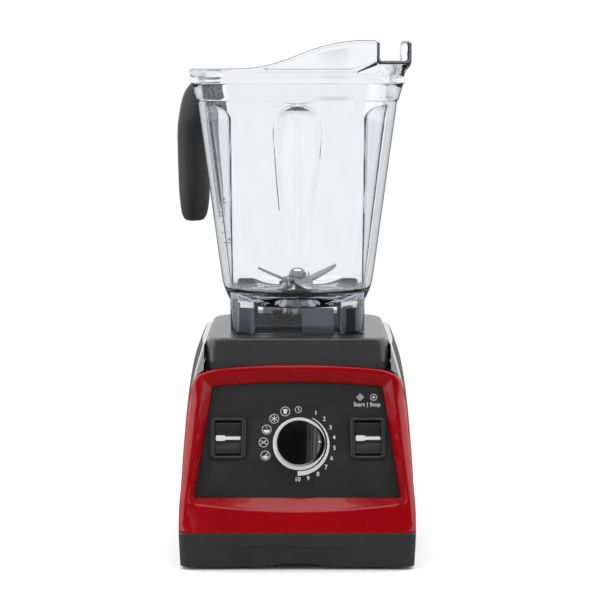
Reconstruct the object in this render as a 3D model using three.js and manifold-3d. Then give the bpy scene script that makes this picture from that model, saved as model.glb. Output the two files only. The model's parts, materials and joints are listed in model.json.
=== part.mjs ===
// Countertop blender: a powered base with a leaning control panel, and a clear lift-off jug with a
// corner spout, a corner handle and a blade unit. Millimetres, +Z up, the front faces -Y. The drive axis
// is x = y = 0, and z = 0 is the flat underside of the base tray; the rubber feet reach a little lower.

import * as THREE from 'three';
import { LoftGeometry } from 'three/addons/geometries/LoftGeometry.js';
import { mergeVertices } from 'three/addons/utils/BufferGeometryUtils.js';
import Module from 'manifold-3d';

const wasm = await Module();
wasm.setup();

// ---------------------------------------------------------------- driving dimensions

const GAP = 0.3; // clearance between pieces that meet
const SCREW_RADIUS = 2;
const SCREW_HOLE_RADIUS = 2.4;

// Base
const BASE_FRONT = -130; // front edge of the tray's top
const BASE_BACK = 109;
const BASE_HALF_WIDTH = 98;
const TRAY_TOP = 28.4;
const TRAY_FOOTPRINT_INSET = 1.1; // how much narrower the tray is at the floor
const SHELL = 3; // wall thickness of the base's plastic shells
const LEAN = THREE.MathUtils.degToRad(17.5); // how far the front leans back from vertical
const FRONT_CORNER = 12;
const REAR_CORNER = 34;
const HOUSING_TOP = 178;
const DECK_TOP = 162.3; // shelf inside the housing that carries the pedestal
const FOOT_X = 72;
const FOOT_FRONT_Y = -100;
const FOOT_REAR_Y = 80;
const TRAY_SCREW_X = 89;
const TRAY_SCREW_Y = 68;

// Half-widths of the housing by height, at its front edge, at its middle, and its back edge
const FRONT_HALF_WIDTHS = [[0, 96.9], [TRAY_TOP, 98], [44, 98], [64, 96.6], [90, 95.2], [116, 93], [136, 90.4],
  [148, 88], [160, 85], [170, 82], [HOUSING_TOP, 79.5]];
const MIDDLE_HALF_WIDTHS = [[0, 96.9], [TRAY_TOP, 98], [60, 98], [100, 97], [130, 94.5], [147, 92], [160, 89.3],
  [170, 86], [HOUSING_TOP, 82.2]];
const BACK_EDGES = [[0, 108], [TRAY_TOP, BASE_BACK], [100, 108], [140, 105.5], [160, 103], [170, 101],
  [HOUSING_TOP, 98.5]];

// Front fascia and control panel, in the leaning plane: u across, v up the slope, w outwards
const FASCIA_DEPTH = 14;
const FASCIA_TOP = 140; // v of the crowned top edge
const RECESS_DEPTH = 8;
const PANEL_THICKNESS = 3;
const PANEL_BOTTOM = 28.8;
const PANEL_TOP = 123;
const PANEL_BOTTOM_HALF = 84.5;
const PANEL_TOP_HALF = 71.5;
const PANEL_CROWN = 3.4;
const PANEL_CORNER = 3;
const DIAL_U = 1.5;
const DIAL_V = 74.9;
const DIAL_RADIUS = 21.9;
const DIAL_FACE_RADIUS = 19;
const DIAL_HEIGHT = 12;
const PULSE_U = -57.7;
const START_STOP_U = 58.9;
const SWITCH_V = 79.6;
const BEZEL_WIDTH = 29.5;
const BEZEL_HEIGHT = 34.5;
const OPENING_WIDTH = 22.4;
const OPENING_HEIGHT = 29.6;
const PADDLE_WIDTH = 21.6;
const PADDLE_SWEEP_RADIUS = 14.3; // furthest the paddle reaches from its pivot
const PADDLE_PIVOT_DEPTH = 13; // below the fascia's front plane
const BOARD_DEPTH = 33;

// Pedestal and centring pad
const PEDESTAL_TOP = 184;
const PEDESTAL_FRONT = -84;
const PEDESTAL_BACK = 93;
const PEDESTAL_HALF_WIDTH = 76.3;
const PEDESTAL_FLARE = 1.7;
const PAD_HALF_WIDTH = 50;
const PAD_POST_TOP = 204;

// Motor, along the drive axis
const SHAFT_RADIUS = 4.7;
const SHAFT_BORE = 5;
const STATOR_HALF_WIDTH = 42;
const STATOR_BOTTOM = 72;
const STATOR_TOP = 118;
const STATOR_BORE = 28.5;
const ARMATURE_RADIUS = 27;
const FAN_RADIUS = 34;
const BRACKET_LEG_INSIDE = 37;
const BRACKET_LEG_OUTSIDE = 43.5;
const SOCKET_TOP = 204.5;
const SPLINE_TEETH = 12;

// Jug
const SKIRT_HALF_WIDTH = 57.3;
const SKIRT_CORNER = 14;
const SKIRT_WALL = 4;
const SKIRT_BOTTOM = PEDESTAL_TOP + GAP;
const SKIRT_TOP = 219;
const JUG_FLOOR = 209.5;
const JUG_WALL = 3.2;
const JUG_FLOOR_THICKNESS = 5;
const COLLAR_BOTTOM = 381.5;
const COLLAR_TOP = 403.5;
const RIM = 406.5;
const RIM_FLANGE = 2.4;
const FLUTE_RIDGE = 58; // distance of each flute's inner ridge from the axis
const FLUTE_BOTTOM = 224;
const FLUTE_WIDEST = 357;
const FLUTE_TOP = 378;
const FLUTE_HALF_WIDTH = 18.5;
const SPOUT_TIP_HEIGHT = 432;
const SPOUT_CHEEK_HEIGHT = 429.5;
const SPOUT_LIP_HEIGHT = 414.7;
const SPOUT_LIP_X = 79.3; // the lip's middle is at (x, -x)
const SPOUT_LIP_HALF = 21.2;
const SPOUT_RISE_START = -45; // where the rim starts to climb, along each of the two faces
const SPOUT_RISE_END = 48;
const FLOOR_BORE = 14.4;
const COLLAR_HALF_WIDTH = 90;
const VESSEL_CORNER = 36;

// Outside of the vessel by height: half-width and corner radius
const VESSEL_ROWS = [[JUG_FLOOR, 50, 40], [212, 55.5, 42], [217, 60.5, 42], [225, 64, 38],
  [245, 66.8, VESSEL_CORNER], [280, 71.2, VESSEL_CORNER], [FLUTE_WIDEST, 81, VESSEL_CORNER],
  [370, 82.7, VESSEL_CORNER], [FLUTE_TOP, 83.7, VESSEL_CORNER], [COLLAR_BOTTOM, 84.2, VESSEL_CORNER],
  [396, 89.6, VESSEL_CORNER], [COLLAR_TOP, COLLAR_HALF_WIDTH, VESSEL_CORNER]];

// Handle, in the plane through the rear left corner: r from the drive axis, t across
const HANDLE_ROWS = [[269.5, 124, 135, 9], [271.5, 120, 139, 13.5], [278, 118, 142, 16.5],
  [300, 120, 145.5, 17.5], [345, 121, 147.3, 18], [358, 117, 147, 18], [366, 109, 146, 18], [376, 107, 144, 18],
  [386, 108, 138.5, 17], [392, 110, 132.5, 15.5], [395.5, 111, 127, 13]];
const LUG_REACH = 126;
const LUG_HALF_WIDTH = 8;
const LUG_BOTTOM = 368;
const LUG_TOP = 391;
const HANDLE_SCREW_R = 121;
const HANDLE_SCREW_HEIGHTS = [374.5, 385];

// Blade unit
const BLADE_PLANE = 226;
const BLADE_REACH = 40;

// Rear face
const POWER_SWITCH_X = -52;
const POWER_SWITCH_Z = 62;
const CORD_GLAND_X = 48;
const CORD_GLAND_Z = 52;

// ---------------------------------------------------------------- materials

function material(color, roughness, metalness = 0) {
  return new THREE.MeshStandardMaterial({ color, roughness, metalness });
}

const charcoal = material(0x38383a, 0.55);
const glossCharcoal = material(0x2b2b2d, 0.2);
const red = material(0xa0040c, 0.12);
const panelBlack = material(0x2c2c2f, 0.45);
const rubber = material(0x2a2a2b, 0.85);
const softGrip = material(0x3c3c3e, 0.7);
const glossBlack = material(0x0a0a0a, 0.1);
const chrome = material(0xd8d8da, 0.12, 1);
const steel = material(0x9fa1a4, 0.3, 1);
const aluminium = material(0xb8babd, 0.4, 1);
const copper = material(0xb06a3a, 0.35, 1);
const carbon = material(0x1f1f21, 0.8);
const board = material(0x14532a, 0.5);
const nylon = material(0xd9d6cb, 0.6);
const clearPlastic = material(0xe6ecf2, 0.05);
clearPlastic.transparent = true;
clearPlastic.opacity = 0.4;

// ---------------------------------------------------------------- solids

// Turns a closed geometry into a boolean solid, with its faces pointing outwards
function solidOf(geometry) {
  const bare = new THREE.BufferGeometry();
  bare.setAttribute('position', geometry.getAttribute('position'));
  bare.setIndex(geometry.getIndex());
  const merged = mergeVertices(bare, 1e-4);
  const index = wholeTriangles(merged.index.array);
  if (signedVolume(merged.attributes.position, index) < 0) {
    index.reverse();
  }
  const vertProperties = Float32Array.from(merged.attributes.position.array);
  return new wasm.Manifold(new wasm.Mesh({ numProp: 3, vertProperties, triVerts: index }));
}

// Leaves out the triangles that have shrunk to a line
function wholeTriangles(index) {
  const kept = [];
  for (let i = 0; i < index.length; i += 3) {
    const [a, b, c] = [index[i], index[i + 1], index[i + 2]];
    if (a !== b && b !== c && c !== a) {
      kept.push(a, b, c);
    }
  }
  return Uint32Array.from(kept);
}

function signedVolume(position, index) {
  const [a, b, c] = [new THREE.Vector3(), new THREE.Vector3(), new THREE.Vector3()];
  let volume = 0;
  for (let i = 0; i < index.length; i += 3) {
    a.fromBufferAttribute(position, index[i]);
    b.fromBufferAttribute(position, index[i + 1]);
    c.fromBufferAttribute(position, index[i + 2]);
    volume += a.dot(b.cross(c));
  }
  return volume;
}

function geometryOf(solid) {
  const mesh = solid.getMesh();
  const geometry = new THREE.BufferGeometry();
  geometry.setAttribute('position', new THREE.BufferAttribute(Float32Array.from(mesh.vertProperties), 3));
  geometry.setIndex(new THREE.BufferAttribute(Uint32Array.from(mesh.triVerts), 1));
  geometry.computeVertexNormals();
  return geometry;
}

function join(first, ...others) {
  return others.reduce((whole, other) => whole.add(other), first);
}

function cut(first, ...others) {
  return others.reduce((whole, other) => whole.subtract(other), first);
}

// A box from its low and high corners
function box(low, high) {
  const size = high.map((value, i) => value - low[i]);
  const geometry = new THREE.BoxGeometry(...size);
  geometry.translate(low[0] + size[0] / 2, low[1] + size[1] / 2, low[2] + size[2] / 2);
  return solidOf(geometry);
}

// A flat outline pushed along +Z from z0 to z1
function prism(points, z0, z1) {
  const options = { depth: z1 - z0, bevelEnabled: false };
  const geometry = new THREE.ExtrudeGeometry(new THREE.Shape(points), options);
  geometry.translate(0, 0, z0);
  return solidOf(geometry);
}

function rod(radius, z0, z1, x = 0, y = 0, segments = 12) {
  const geometry = new THREE.CylinderGeometry(radius, radius, z1 - z0, segments);
  geometry.rotateX(Math.PI / 2);
  geometry.translate(x, y, (z0 + z1) / 2);
  return solidOf(geometry);
}

function tube(innerRadius, outerRadius, z0, z1, segments = 20) {
  return cut(rod(outerRadius, z0, z1, 0, 0, segments), rod(innerRadius, z0 - 1, z1 + 1, 0, 0, segments));
}

// A solid turned about the Z axis from [radius, z] pairs that run from axis to axis
function turned(pairs, segments = 20) {
  const profile = pairs.map(([radius, z]) => new THREE.Vector2(radius, z));
  const geometry = new THREE.LatheGeometry(profile, segments);
  geometry.rotateX(Math.PI / 2);
  geometry.scale(1, -1, 1);
  return solidOf(geometry);
}

// A solid skinned through rings of points; each end ring is drawn in to its centre to close it
function loft(rings) {
  const toCentre = (ring) => {
    const centre = ring.reduce((sum, point) => sum.add(point), new THREE.Vector3()).divideScalar(ring.length);
    return ring.map(() => centre);
  };
  return solidOf(new LoftGeometry([toCentre(rings[0]), ...rings, toCentre(rings[rings.length - 1])]));
}

// An outline at height z, as a ring for a loft
function ringAt(points, z) {
  return points.map(({ x, y }) => new THREE.Vector3(x, y, z));
}

function moved(solid, x, y, z) {
  return solid.translate([x, y, z]);
}

function arc(centreX, centreY, radius, from, to, steps) {
  return Array.from({ length: steps + 1 }, (_, i) => {
    const angle = THREE.MathUtils.degToRad(from + ((to - from) * i) / steps);
    return new THREE.Vector2(centreX + radius * Math.cos(angle), centreY + radius * Math.sin(angle));
  });
}

function roundedRectangle(halfX, halfY, radius, steps = 4, x = 0, y = 0) {
  return [
    ...arc(x + halfX - radius, y - halfY + radius, radius, -90, 0, steps),
    ...arc(x + halfX - radius, y + halfY - radius, radius, 0, 90, steps),
    ...arc(x - halfX + radius, y + halfY - radius, radius, 90, 180, steps),
    ...arc(x - halfX + radius, y - halfY + radius, radius, 180, 270, steps),
  ];
}

// A toothed outline whose radius steps between root and tip
function splineOutline(root, tip, teeth = SPLINE_TEETH) {
  return Array.from({ length: teeth * 2 }, (_, i) => {
    const radius = i % 2 ? root : tip;
    const angle = (Math.PI * i) / teeth;
    return new THREE.Vector2(radius * Math.cos(angle), radius * Math.sin(angle));
  });
}

// Straight-line interpolation in a list of [height, value] rows
function valueAt(rows, height) {
  const upper = rows.findIndex(([level]) => level >= height);
  if (upper === 0) {
    return rows[0][1];
  }
  if (upper < 0) {
    return rows[rows.length - 1][1];
  }
  const [z0, value0] = rows[upper - 1];
  const [z1, value1] = rows[upper];
  return value0 + ((value1 - value0) * (height - z0)) / (z1 - z0);
}

function addPiece(group, name, solid, pieceMaterial) {
  const mesh = new THREE.Mesh(geometryOf(solid), pieceMaterial);
  mesh.name = name;
  group.add(mesh);
  return mesh;
}

// ---------------------------------------------------------------- frames

const group = new THREE.Group();

// The leaning front: its local X is across, Y is up the slope and Z points out of the panel
const front = new THREE.Group();
front.position.set(0, BASE_FRONT, TRAY_TOP);
front.rotation.x = Math.PI / 2 - LEAN;
front.updateMatrixWorld();
group.add(front);

// The rear left corner of the jug: local X points outwards along the corner's diagonal
const corner = new THREE.Group();
corner.rotation.z = THREE.MathUtils.degToRad(135);
corner.updateMatrixWorld();
group.add(corner);

// The rear face: local Z points backwards out of the housing
const rear = new THREE.Group();
rear.position.set(0, BASE_BACK - 0.4, 0);
rear.rotation.x = -Math.PI / 2;
rear.updateMatrixWorld();
group.add(rear);

function inFrame(frame, solid) {
  return solid.transform(frame.matrixWorld.toArray());
}

// ---------------------------------------------------------------- base shells

function frontEdge(z) {
  return z > TRAY_TOP ? BASE_FRONT + (z - TRAY_TOP) * Math.tan(LEAN) : BASE_FRONT + (TRAY_TOP - z) * 0.04;
}

// Outline of the base at height z, anticlockwise from the front
function baseRing(z, inset) {
  const frontHalf = valueAt(FRONT_HALF_WIDTHS, z) - inset;
  const middleHalf = valueAt(MIDDLE_HALF_WIDTHS, z) - inset;
  const frontY = frontEdge(z) + inset;
  const backY = valueAt(BACK_EDGES, z) - inset;
  const frontRadius = FRONT_CORNER - inset;
  const rearRadius = REAR_CORNER - inset;
  const half = arc(frontHalf - frontRadius, frontY + frontRadius, frontRadius, -90, 0, 4);
  const sideStart = frontY + frontRadius;
  for (const share of [0.33, 0.67, 1]) {
    const x = frontHalf + (middleHalf - frontHalf) * Math.sin((share * Math.PI) / 2);
    half.push(new THREE.Vector2(x, sideStart * (1 - share)));
  }
  half.push(...arc(middleHalf - rearRadius, backY - rearRadius, rearRadius, 0, 90, 6));
  const mirrored = half.map(({ x, y }) => new THREE.Vector2(-x, y)).reverse();
  return ringAt([...half, ...mirrored], z);
}

function baseLoft(levels, inset) {
  return loft(levels.map((z) => baseRing(z, inset)));
}

function pedestalRing(z, grow) {
  const flare = (PEDESTAL_FLARE * (PEDESTAL_TOP - z)) / (PEDESTAL_TOP - DECK_TOP);
  const halfWidth = PEDESTAL_HALF_WIDTH + flare + grow;
  const frontY = PEDESTAL_FRONT - flare - grow;
  const backY = PEDESTAL_BACK + grow;
  const half = [
    new THREE.Vector2(0, frontY),
    ...arc(halfWidth - 12, frontY + 14, 12, -90, 0, 4),
    ...arc(halfWidth - 30, backY - 30, 30, 0, 90, 6),
  ];
  const mirrored = half.slice(1).map(({ x, y }) => new THREE.Vector2(-x, y)).reverse();
  return ringAt([...half, ...mirrored], z);
}

function screwPlaces() {
  return [-1, 1].flatMap((side) => [-1, 1].map((end) => [side * TRAY_SCREW_X, end * TRAY_SCREW_Y]));
}

function footPlaces() {
  return [[-FOOT_X, FOOT_FRONT_Y], [FOOT_X, FOOT_FRONT_Y], [-FOOT_X, FOOT_REAR_Y], [FOOT_X, FOOT_REAR_Y]];
}

function makeTray() {
  const levels = [0, 6, 17, TRAY_TOP];
  const shell = cut(baseLoft(levels, 0), baseLoft([SHELL, 17, TRAY_TOP + 1], SHELL));
  const standoffs = screwPlaces().map(([x, y]) => rod(6, 1, TRAY_TOP, x, y));
  const bores = screwPlaces().map(([x, y]) => rod(SCREW_HOLE_RADIUS, -1, TRAY_TOP + 1, x, y));
  const headRecesses = screwPlaces().map(([x, y]) => rod(4.6, -1, 3.2, x, y));
  const footHoles = footPlaces().map(([x, y]) => rod(3.4, -1, SHELL + 1, x, y, 16));
  const slots = [-34, 34].flatMap((x) =>
    [-20, -12, -4, 4, 12, 20].map((y) => box([x - 14, y - 2, -1], [x + 14, y + 2, 5])));
  const frontArch = prism([new THREE.Vector2(-26, -1), new THREE.Vector2(26, -1), new THREE.Vector2(14, 2.6),
    new THREE.Vector2(-14, 2.6)], -8, 8).rotate([90, 0, 0]);
  return cut(join(shell, ...standoffs), ...bores, ...headRecesses, ...footHoles, ...slots,
    moved(frontArch, 0, BASE_FRONT, 0));
}

function makeFoot() {
  return turned([[0, -2.5], [10, -2.5], [11, -1.5], [11, -0.1], [3.1, -0.1], [3.1, 3.2], [4.6, 3.4], [3, 6.5],
    [0, 6.5]], 14);
}

function makeHousing() {
  const levels = [TRAY_TOP + GAP, 60, 90, 116, 136, 148, 160, 170, HOUSING_TOP];
  const cavityLevels = [TRAY_TOP - 1, 60, 116, 148, DECK_TOP - SHELL];
  const pocket = loft([pedestalRing(DECK_TOP, 0.4), pedestalRing(PEDESTAL_TOP + 20, 0.4)]);
  const frontOpening = inFrame(front, prism(fasciaOutline(GAP), -FASCIA_DEPTH - GAP, 60));
  const pedestalFront = inFrame(front, box([-72, FASCIA_TOP - 4, -FASCIA_DEPTH - GAP], [72, 200, 60]));
  const stepHalf = PEDESTAL_HALF_WIDTH + PEDESTAL_FLARE + 0.4;
  const pedestalStep = box([-stepHalf, BASE_FRONT, DECK_TOP], [stepHalf, PEDESTAL_FRONT + 14, PEDESTAL_TOP]);
  const shell = cut(baseLoft(levels, 0), baseLoft(cavityLevels, SHELL));
  const bosses = screwPlaces().map(([x, y]) => rod(6, TRAY_TOP + GAP, 52, x, y));
  const motorBosses = [-1, 1].map((side) => rod(6, 152.3, DECK_TOP - 1, side * 50, 0));
  const bores = screwPlaces().map(([x, y]) => rod(SCREW_HOLE_RADIUS, 20, 48, x, y));
  const motorBores = [-1, 1].map((side) => rod(SCREW_HOLE_RADIUS, 150, 159, side * 50, 0));
  const vents = [0, 1, 2, 3, 4, 5].map((i) => box([-36, 90, 92 + 8 * i], [36, 120, 96 + 8 * i]));
  const switchOpening = box([POWER_SWITCH_X - 8, 95, POWER_SWITCH_Z - 12],
    [POWER_SWITCH_X + 8, 120, POWER_SWITCH_Z + 12]);
  const glandOpening = moved(rod(8, -20, 20, 0, 0, 24).rotate([90, 0, 0]), CORD_GLAND_X, 105, CORD_GLAND_Z);
  return cut(join(shell, ...bosses, ...motorBosses), ...bores, ...motorBores, pocket, frontOpening,
    pedestalFront, pedestalStep, rod(24, 140, 190, 0, 0, 24), ...vents, switchOpening, glandOpening);
}

// Outline of the fascia's outer edge in the leaning plane, grown by a clearance
function fasciaOutline(grow) {
  const right = [[99, -8], [98.6, 16], [97, 37], [95.9, 65], [93.4, 92], [90.8, 113]].map(([u, v]) =>
    new THREE.Vector2(u, v));
  const cornerCurve = new THREE.QuadraticBezierCurve(
    new THREE.Vector2(88.2, 123.5), new THREE.Vector2(85.6, 134.8), new THREE.Vector2(73, 136.6));
  const crown = new THREE.QuadraticBezierCurve(
    new THREE.Vector2(73, 136.6), new THREE.Vector2(38, FASCIA_TOP), new THREE.Vector2(0, FASCIA_TOP));
  const half = [...right, ...cornerCurve.getPoints(6), ...crown.getPoints(4).slice(1)].map(({ x, y }) =>
    new THREE.Vector2(x * (1 + grow / 80), y + grow));
  return [...half, ...half.slice(0, -1).map(({ x, y }) => new THREE.Vector2(-x, y)).reverse()];
}

// Trapezium with rounded corners and a crowned top, the same number of points at any size
function panelOutline(bottom, top, bottomHalf, topHalf, crown, sag) {
  const half = [
    new THREE.Vector2(0, bottom - sag),
    new THREE.Vector2(bottomHalf * 0.5, bottom - sag * 0.75),
    ...arc(bottomHalf - PANEL_CORNER, bottom + PANEL_CORNER, PANEL_CORNER, -90, -5, 2),
    ...arc(topHalf - PANEL_CORNER, top - PANEL_CORNER, PANEL_CORNER, 5, 85, 2),
    new THREE.Vector2(topHalf * 0.5, top + crown * 0.75),
    new THREE.Vector2(0, top + crown),
  ];
  return [...half, ...half.slice(1, -1).map(({ x, y }) => new THREE.Vector2(-x, y)).reverse()];
}

function makeFascia() {
  const slab = prism(fasciaOutline(0), -FASCIA_DEPTH, 6);
  const body = baseLoft([TRAY_TOP + GAP, 44, 64, 90, 116, 130, 148, 160, 170], 0);
  const mouth = panelOutline(24.5, 129.5, 90.2, 78.4, 5, 7);
  const floor = panelOutline(PANEL_BOTTOM - GAP, PANEL_TOP + GAP, PANEL_BOTTOM_HALF + GAP, PANEL_TOP_HALF + GAP,
    PANEL_CROWN, 0);
  const ledge = panelOutline(PANEL_BOTTOM + 5, PANEL_TOP - 5, PANEL_BOTTOM_HALF - 6, PANEL_TOP_HALF - 5,
    PANEL_CROWN, 0);
  const slope = loft([ringAt(floor, -RECESS_DEPTH), ringAt(mouth, 0), ringAt(mouth, 8)]);
  const seat = loft([ringAt(floor, -RECESS_DEPTH - PANEL_THICKNESS - GAP), ringAt(floor, -RECESS_DEPTH + 1)]);
  const through = loft([ringAt(ledge, -FASCIA_DEPTH - 1), ringAt(ledge, -RECESS_DEPTH)]);
  const outer = body.intersect(inFrame(front, slab));
  return cut(outer, inFrame(front, slope), inFrame(front, seat), inFrame(front, through));
}

function makeControlPanel() {
  const outline = panelOutline(PANEL_BOTTOM, PANEL_TOP, PANEL_BOTTOM_HALF, PANEL_TOP_HALF, PANEL_CROWN, 0);
  const plate = loft([ringAt(outline, -RECESS_DEPTH - PANEL_THICKNESS), ringAt(outline, -RECESS_DEPTH)]);
  const openings = [PULSE_U, START_STOP_U].map((u) =>
    box([u - 12.4, SWITCH_V - 15.4, -20], [u + 12.4, SWITCH_V + 15.4, 0]));
  return cut(plate, rod(4.5, -20, 0, DIAL_U, DIAL_V), ...openings);
}

function makePedestalCap() {
  const outer = loft([pedestalRing(DECK_TOP + GAP, 0), pedestalRing(PEDESTAL_TOP - 1.2, 0),
    pedestalRing(PEDESTAL_TOP, -1.2)]);
  const inner = loft([pedestalRing(DECK_TOP - 1, -SHELL), pedestalRing(PEDESTAL_TOP - SHELL, -SHELL)]);
  return cut(outer, inner, rod(20, 170, 190, 0, 0, 28));
}

function makeCentringPad() {
  const bottom = PEDESTAL_TOP + GAP;
  const plate = prism(roundedRectangle(PAD_HALF_WIDTH, PAD_HALF_WIDTH, 8), bottom, bottom + 3);
  const postAt = PAD_HALF_WIDTH - 8;
  const posts = [[-1, -1], [1, -1], [-1, 1], [1, 1]].map(([sx, sy]) =>
    prism(roundedRectangle(7, 7, 3, 2, sx * postAt, sy * postAt), bottom + 2, PAD_POST_TOP));
  return cut(join(plate, ...posts), rod(20, 180, 200, 0, 0, 28));
}

function makeTrayScrew() {
  return join(rod(4, 0.6, 2.9, 0, 0, 16), rod(SCREW_RADIUS, 2, 45));
}

function buildBaseShells() {
  addPiece(group, 'base_tray', makeTray(), charcoal);
  addPiece(group, 'rear_housing', makeHousing(), glossCharcoal);
  addPiece(group, 'front_fascia', makeFascia(), red);
  addPiece(front, 'control_panel', makeControlPanel(), panelBlack);
  addPiece(group, 'pedestal_cap', makePedestalCap(), charcoal);
  addPiece(group, 'centring_pad', makeCentringPad(), rubber);
  footPlaces().forEach(([x, y], i) => {
    addPiece(group, `foot_${i + 1}`, makeFoot(), rubber).position.set(x, y, 0);
  });
  screwPlaces().forEach(([x, y], i) => {
    addPiece(group, `tray_screw_${i + 1}`, makeTrayScrew(), steel).position.set(x, y, 0);
  });
}

// ---------------------------------------------------------------- controls on the leaning front

function makeBezel() {
  const outer = prism(roundedRectangle(BEZEL_WIDTH / 2, BEZEL_HEIGHT / 2, 2.5, 3), GAP, 2.2);
  const halfWidth = OPENING_WIDTH / 2;
  const halfHeight = OPENING_HEIGHT / 2;
  return cut(outer, box([-halfWidth, -halfHeight, -1], [halfWidth, halfHeight, 4]));
}

// Rocking paddle about the X axis, with a dished face and a pivot pin at each side
function makePaddle() {
  const end = PADDLE_SWEEP_RADIUS;
  const side = [[-13.6, -3], [13.6, -3], [13.6, 3.6], [end * Math.cos(0.45), end * Math.sin(0.45)], [2, 4.6],
    [-2, 4.6], [-end * Math.cos(0.45), end * Math.sin(0.45)], [-13.6, 3.6]];
  const profile = side.map(([v, w]) => new THREE.Vector2(v, w));
  const body = prism(profile, -PADDLE_WIDTH / 2, PADDLE_WIDTH / 2);
  const pin = rod(1.5, -12, 12);
  return join(body, pin).rotate([0, 0, 90]).rotate([0, 90, 0]).rotate([0, 0, 180]);
}

function makePaddleBar() {
  return prism(roundedRectangle(9.8, 1.3, 0.8, 2), 4.6 + GAP, 8);
}

// Switch housing with two ears that hold the paddle's pins
function makeSwitchBody() {
  const body = box([-12, -14, -18], [12, 14, -5.8]);
  const ears = [-11.6, 11.6].map((x) => box([x - 0.5, -4, -6.5], [x + 0.5, 4, 2.2]));
  const pinHole = rod(1.8, -15, 15).rotate([0, 90, 0]);
  return cut(join(body, ...ears), pinHole);
}

function buildPaddleSwitch(name, u) {
  const atPanel = new THREE.Group();
  atPanel.position.set(u, SWITCH_V, -RECESS_DEPTH);
  const atPivot = new THREE.Group();
  atPivot.position.set(u, SWITCH_V, -PADDLE_PIVOT_DEPTH);
  front.add(atPanel, atPivot);
  addPiece(atPanel, `${name}_bezel`, makeBezel(), charcoal);
  addPiece(atPivot, `${name}_paddle`, makePaddle(), panelBlack);
  addPiece(atPivot, `${name}_bar`, makePaddleBar(), chrome);
  addPiece(atPivot, `${name}_switch_body`, makeSwitchBody(), charcoal);
}

function buildDial() {
  const dial = new THREE.Group();
  dial.position.set(DIAL_U, DIAL_V, -RECESS_DEPTH);
  front.add(dial);
  const knob = turned([[0, 1], [DIAL_FACE_RADIUS - GAP, 1], [DIAL_FACE_RADIUS - 0.6, DIAL_HEIGHT - 1.5],
    [DIAL_FACE_RADIUS - 2, DIAL_HEIGHT], [0, DIAL_HEIGHT]], 32);
  const disc = turned([[0, 0.5], [DIAL_RADIUS, 0.5], [DIAL_RADIUS, 2.5], [DIAL_RADIUS - 1.4, 4], [0, 4]], 32);
  const ring = cut(disc, rod(DIAL_FACE_RADIUS, -1, 6, 0, 0, 32));
  addPiece(dial, 'dial_knob', cut(knob, rod(3.4, -2, 9)), glossBlack);
  addPiece(dial, 'dial_ring', ring, chrome);
  addPiece(dial, 'dial_shaft', rod(3, -18, 8.6, 0, 0, 16), steel);
  const encoder = cut(join(rod(9, -24, -8), rod(4.2, -9, -0.5)), rod(3.4, -20, 2, 0, 0, 16));
  addPiece(dial, 'dial_encoder', encoder, aluminium);
}

function buildControlBoard() {
  const plate = box([-68, 40, -BOARD_DEPTH - 1.6], [70, 112, -BOARD_DEPTH]);
  addPiece(front, 'control_board', plate, board);
  const fins = [0, 1, 2, 3, 4, 5].map((i) => box([18 + 5 * i, 102, -30], [20 + 5 * i, 111, -20]));
  const sink = join(box([16, 102, -BOARD_DEPTH + GAP], [47, 111, -29]), ...fins);
  addPiece(front, 'heat_sink', sink, aluminium);
}

// ---------------------------------------------------------------- rear face

// Local X is across, local Y points down and local Z points out of the back
function buildRearFace() {
  const powerSwitch = new THREE.Group();
  powerSwitch.position.set(POWER_SWITCH_X, -POWER_SWITCH_Z, 0);
  rear.add(powerSwitch);
  const frame = prism(roundedRectangle(10.5, 14.5, 2, 3), 0.6, 2.6);
  const barrel = box([-7.6, -11.6, -16], [7.6, 11.6, 1]);
  const well = box([-5.6, -9.6, -9], [5.6, 9.6, 4]);
  addPiece(powerSwitch, 'power_switch_body', cut(join(frame, barrel), well), charcoal);
  const rocker = prism([[-8.2, -1.6], [8.2, -1.6], [8.6, 4], [0, 2.6], [-8.6, 4]].map(([y, z]) =>
    new THREE.Vector2(y, z)), -5.2, 5.2);
  const upright = rocker.rotate([0, 0, 90]).rotate([0, 90, 0]).rotate([0, 0, 180]);
  addPiece(powerSwitch, 'power_rocker', moved(upright.rotate([-9, 0, 0]), 0, 0, -2.6), glossBlack);
  const gland = cut(turned([[0, -8], [7.6, -8], [7.6, 0.6], [10, 0.6], [10, 2], [8.5, 3.4], [0, 3.4]], 24),
    rod(4, -10, 6, 0, 0, 16));
  addPiece(rear, 'cord_gland', gland, rubber).position.set(CORD_GLAND_X, -CORD_GLAND_Z, 0);
}

// ---------------------------------------------------------------- motor

// A saddle coil around one pole: a ring sector with its middle open
function makeFieldCoil(startAngle) {
  const sector = (from, to, steps) => [
    ...arc(0, 0, 36.4, from, to, steps),
    ...arc(0, 0, 29.8, to, from, steps),
  ];
  const whole = prism(sector(startAngle + 4, startAngle + 176, 14), STATOR_BOTTOM - 8, STATOR_TOP + 8);
  const wide = [
    ...arc(0, 0, 50, startAngle + 16, startAngle + 164, 8),
    ...arc(0, 0, 20, startAngle + 164, startAngle + 16, 8),
  ];
  return cut(whole, prism(wide, STATOR_BOTTOM - GAP, STATOR_TOP + GAP));
}

function makeStator() {
  const block = prism(roundedRectangle(STATOR_HALF_WIDTH, STATOR_HALF_WIDTH, 10), STATOR_BOTTOM, STATOR_TOP);
  const slots = [-31.25, 31.25].map((x) => box([x - 6.25, -12, 60], [x + 6.25, 12, 130]));
  return cut(block, rod(STATOR_BORE, 60, 130, 0, 0, 36), ...slots);
}

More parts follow.
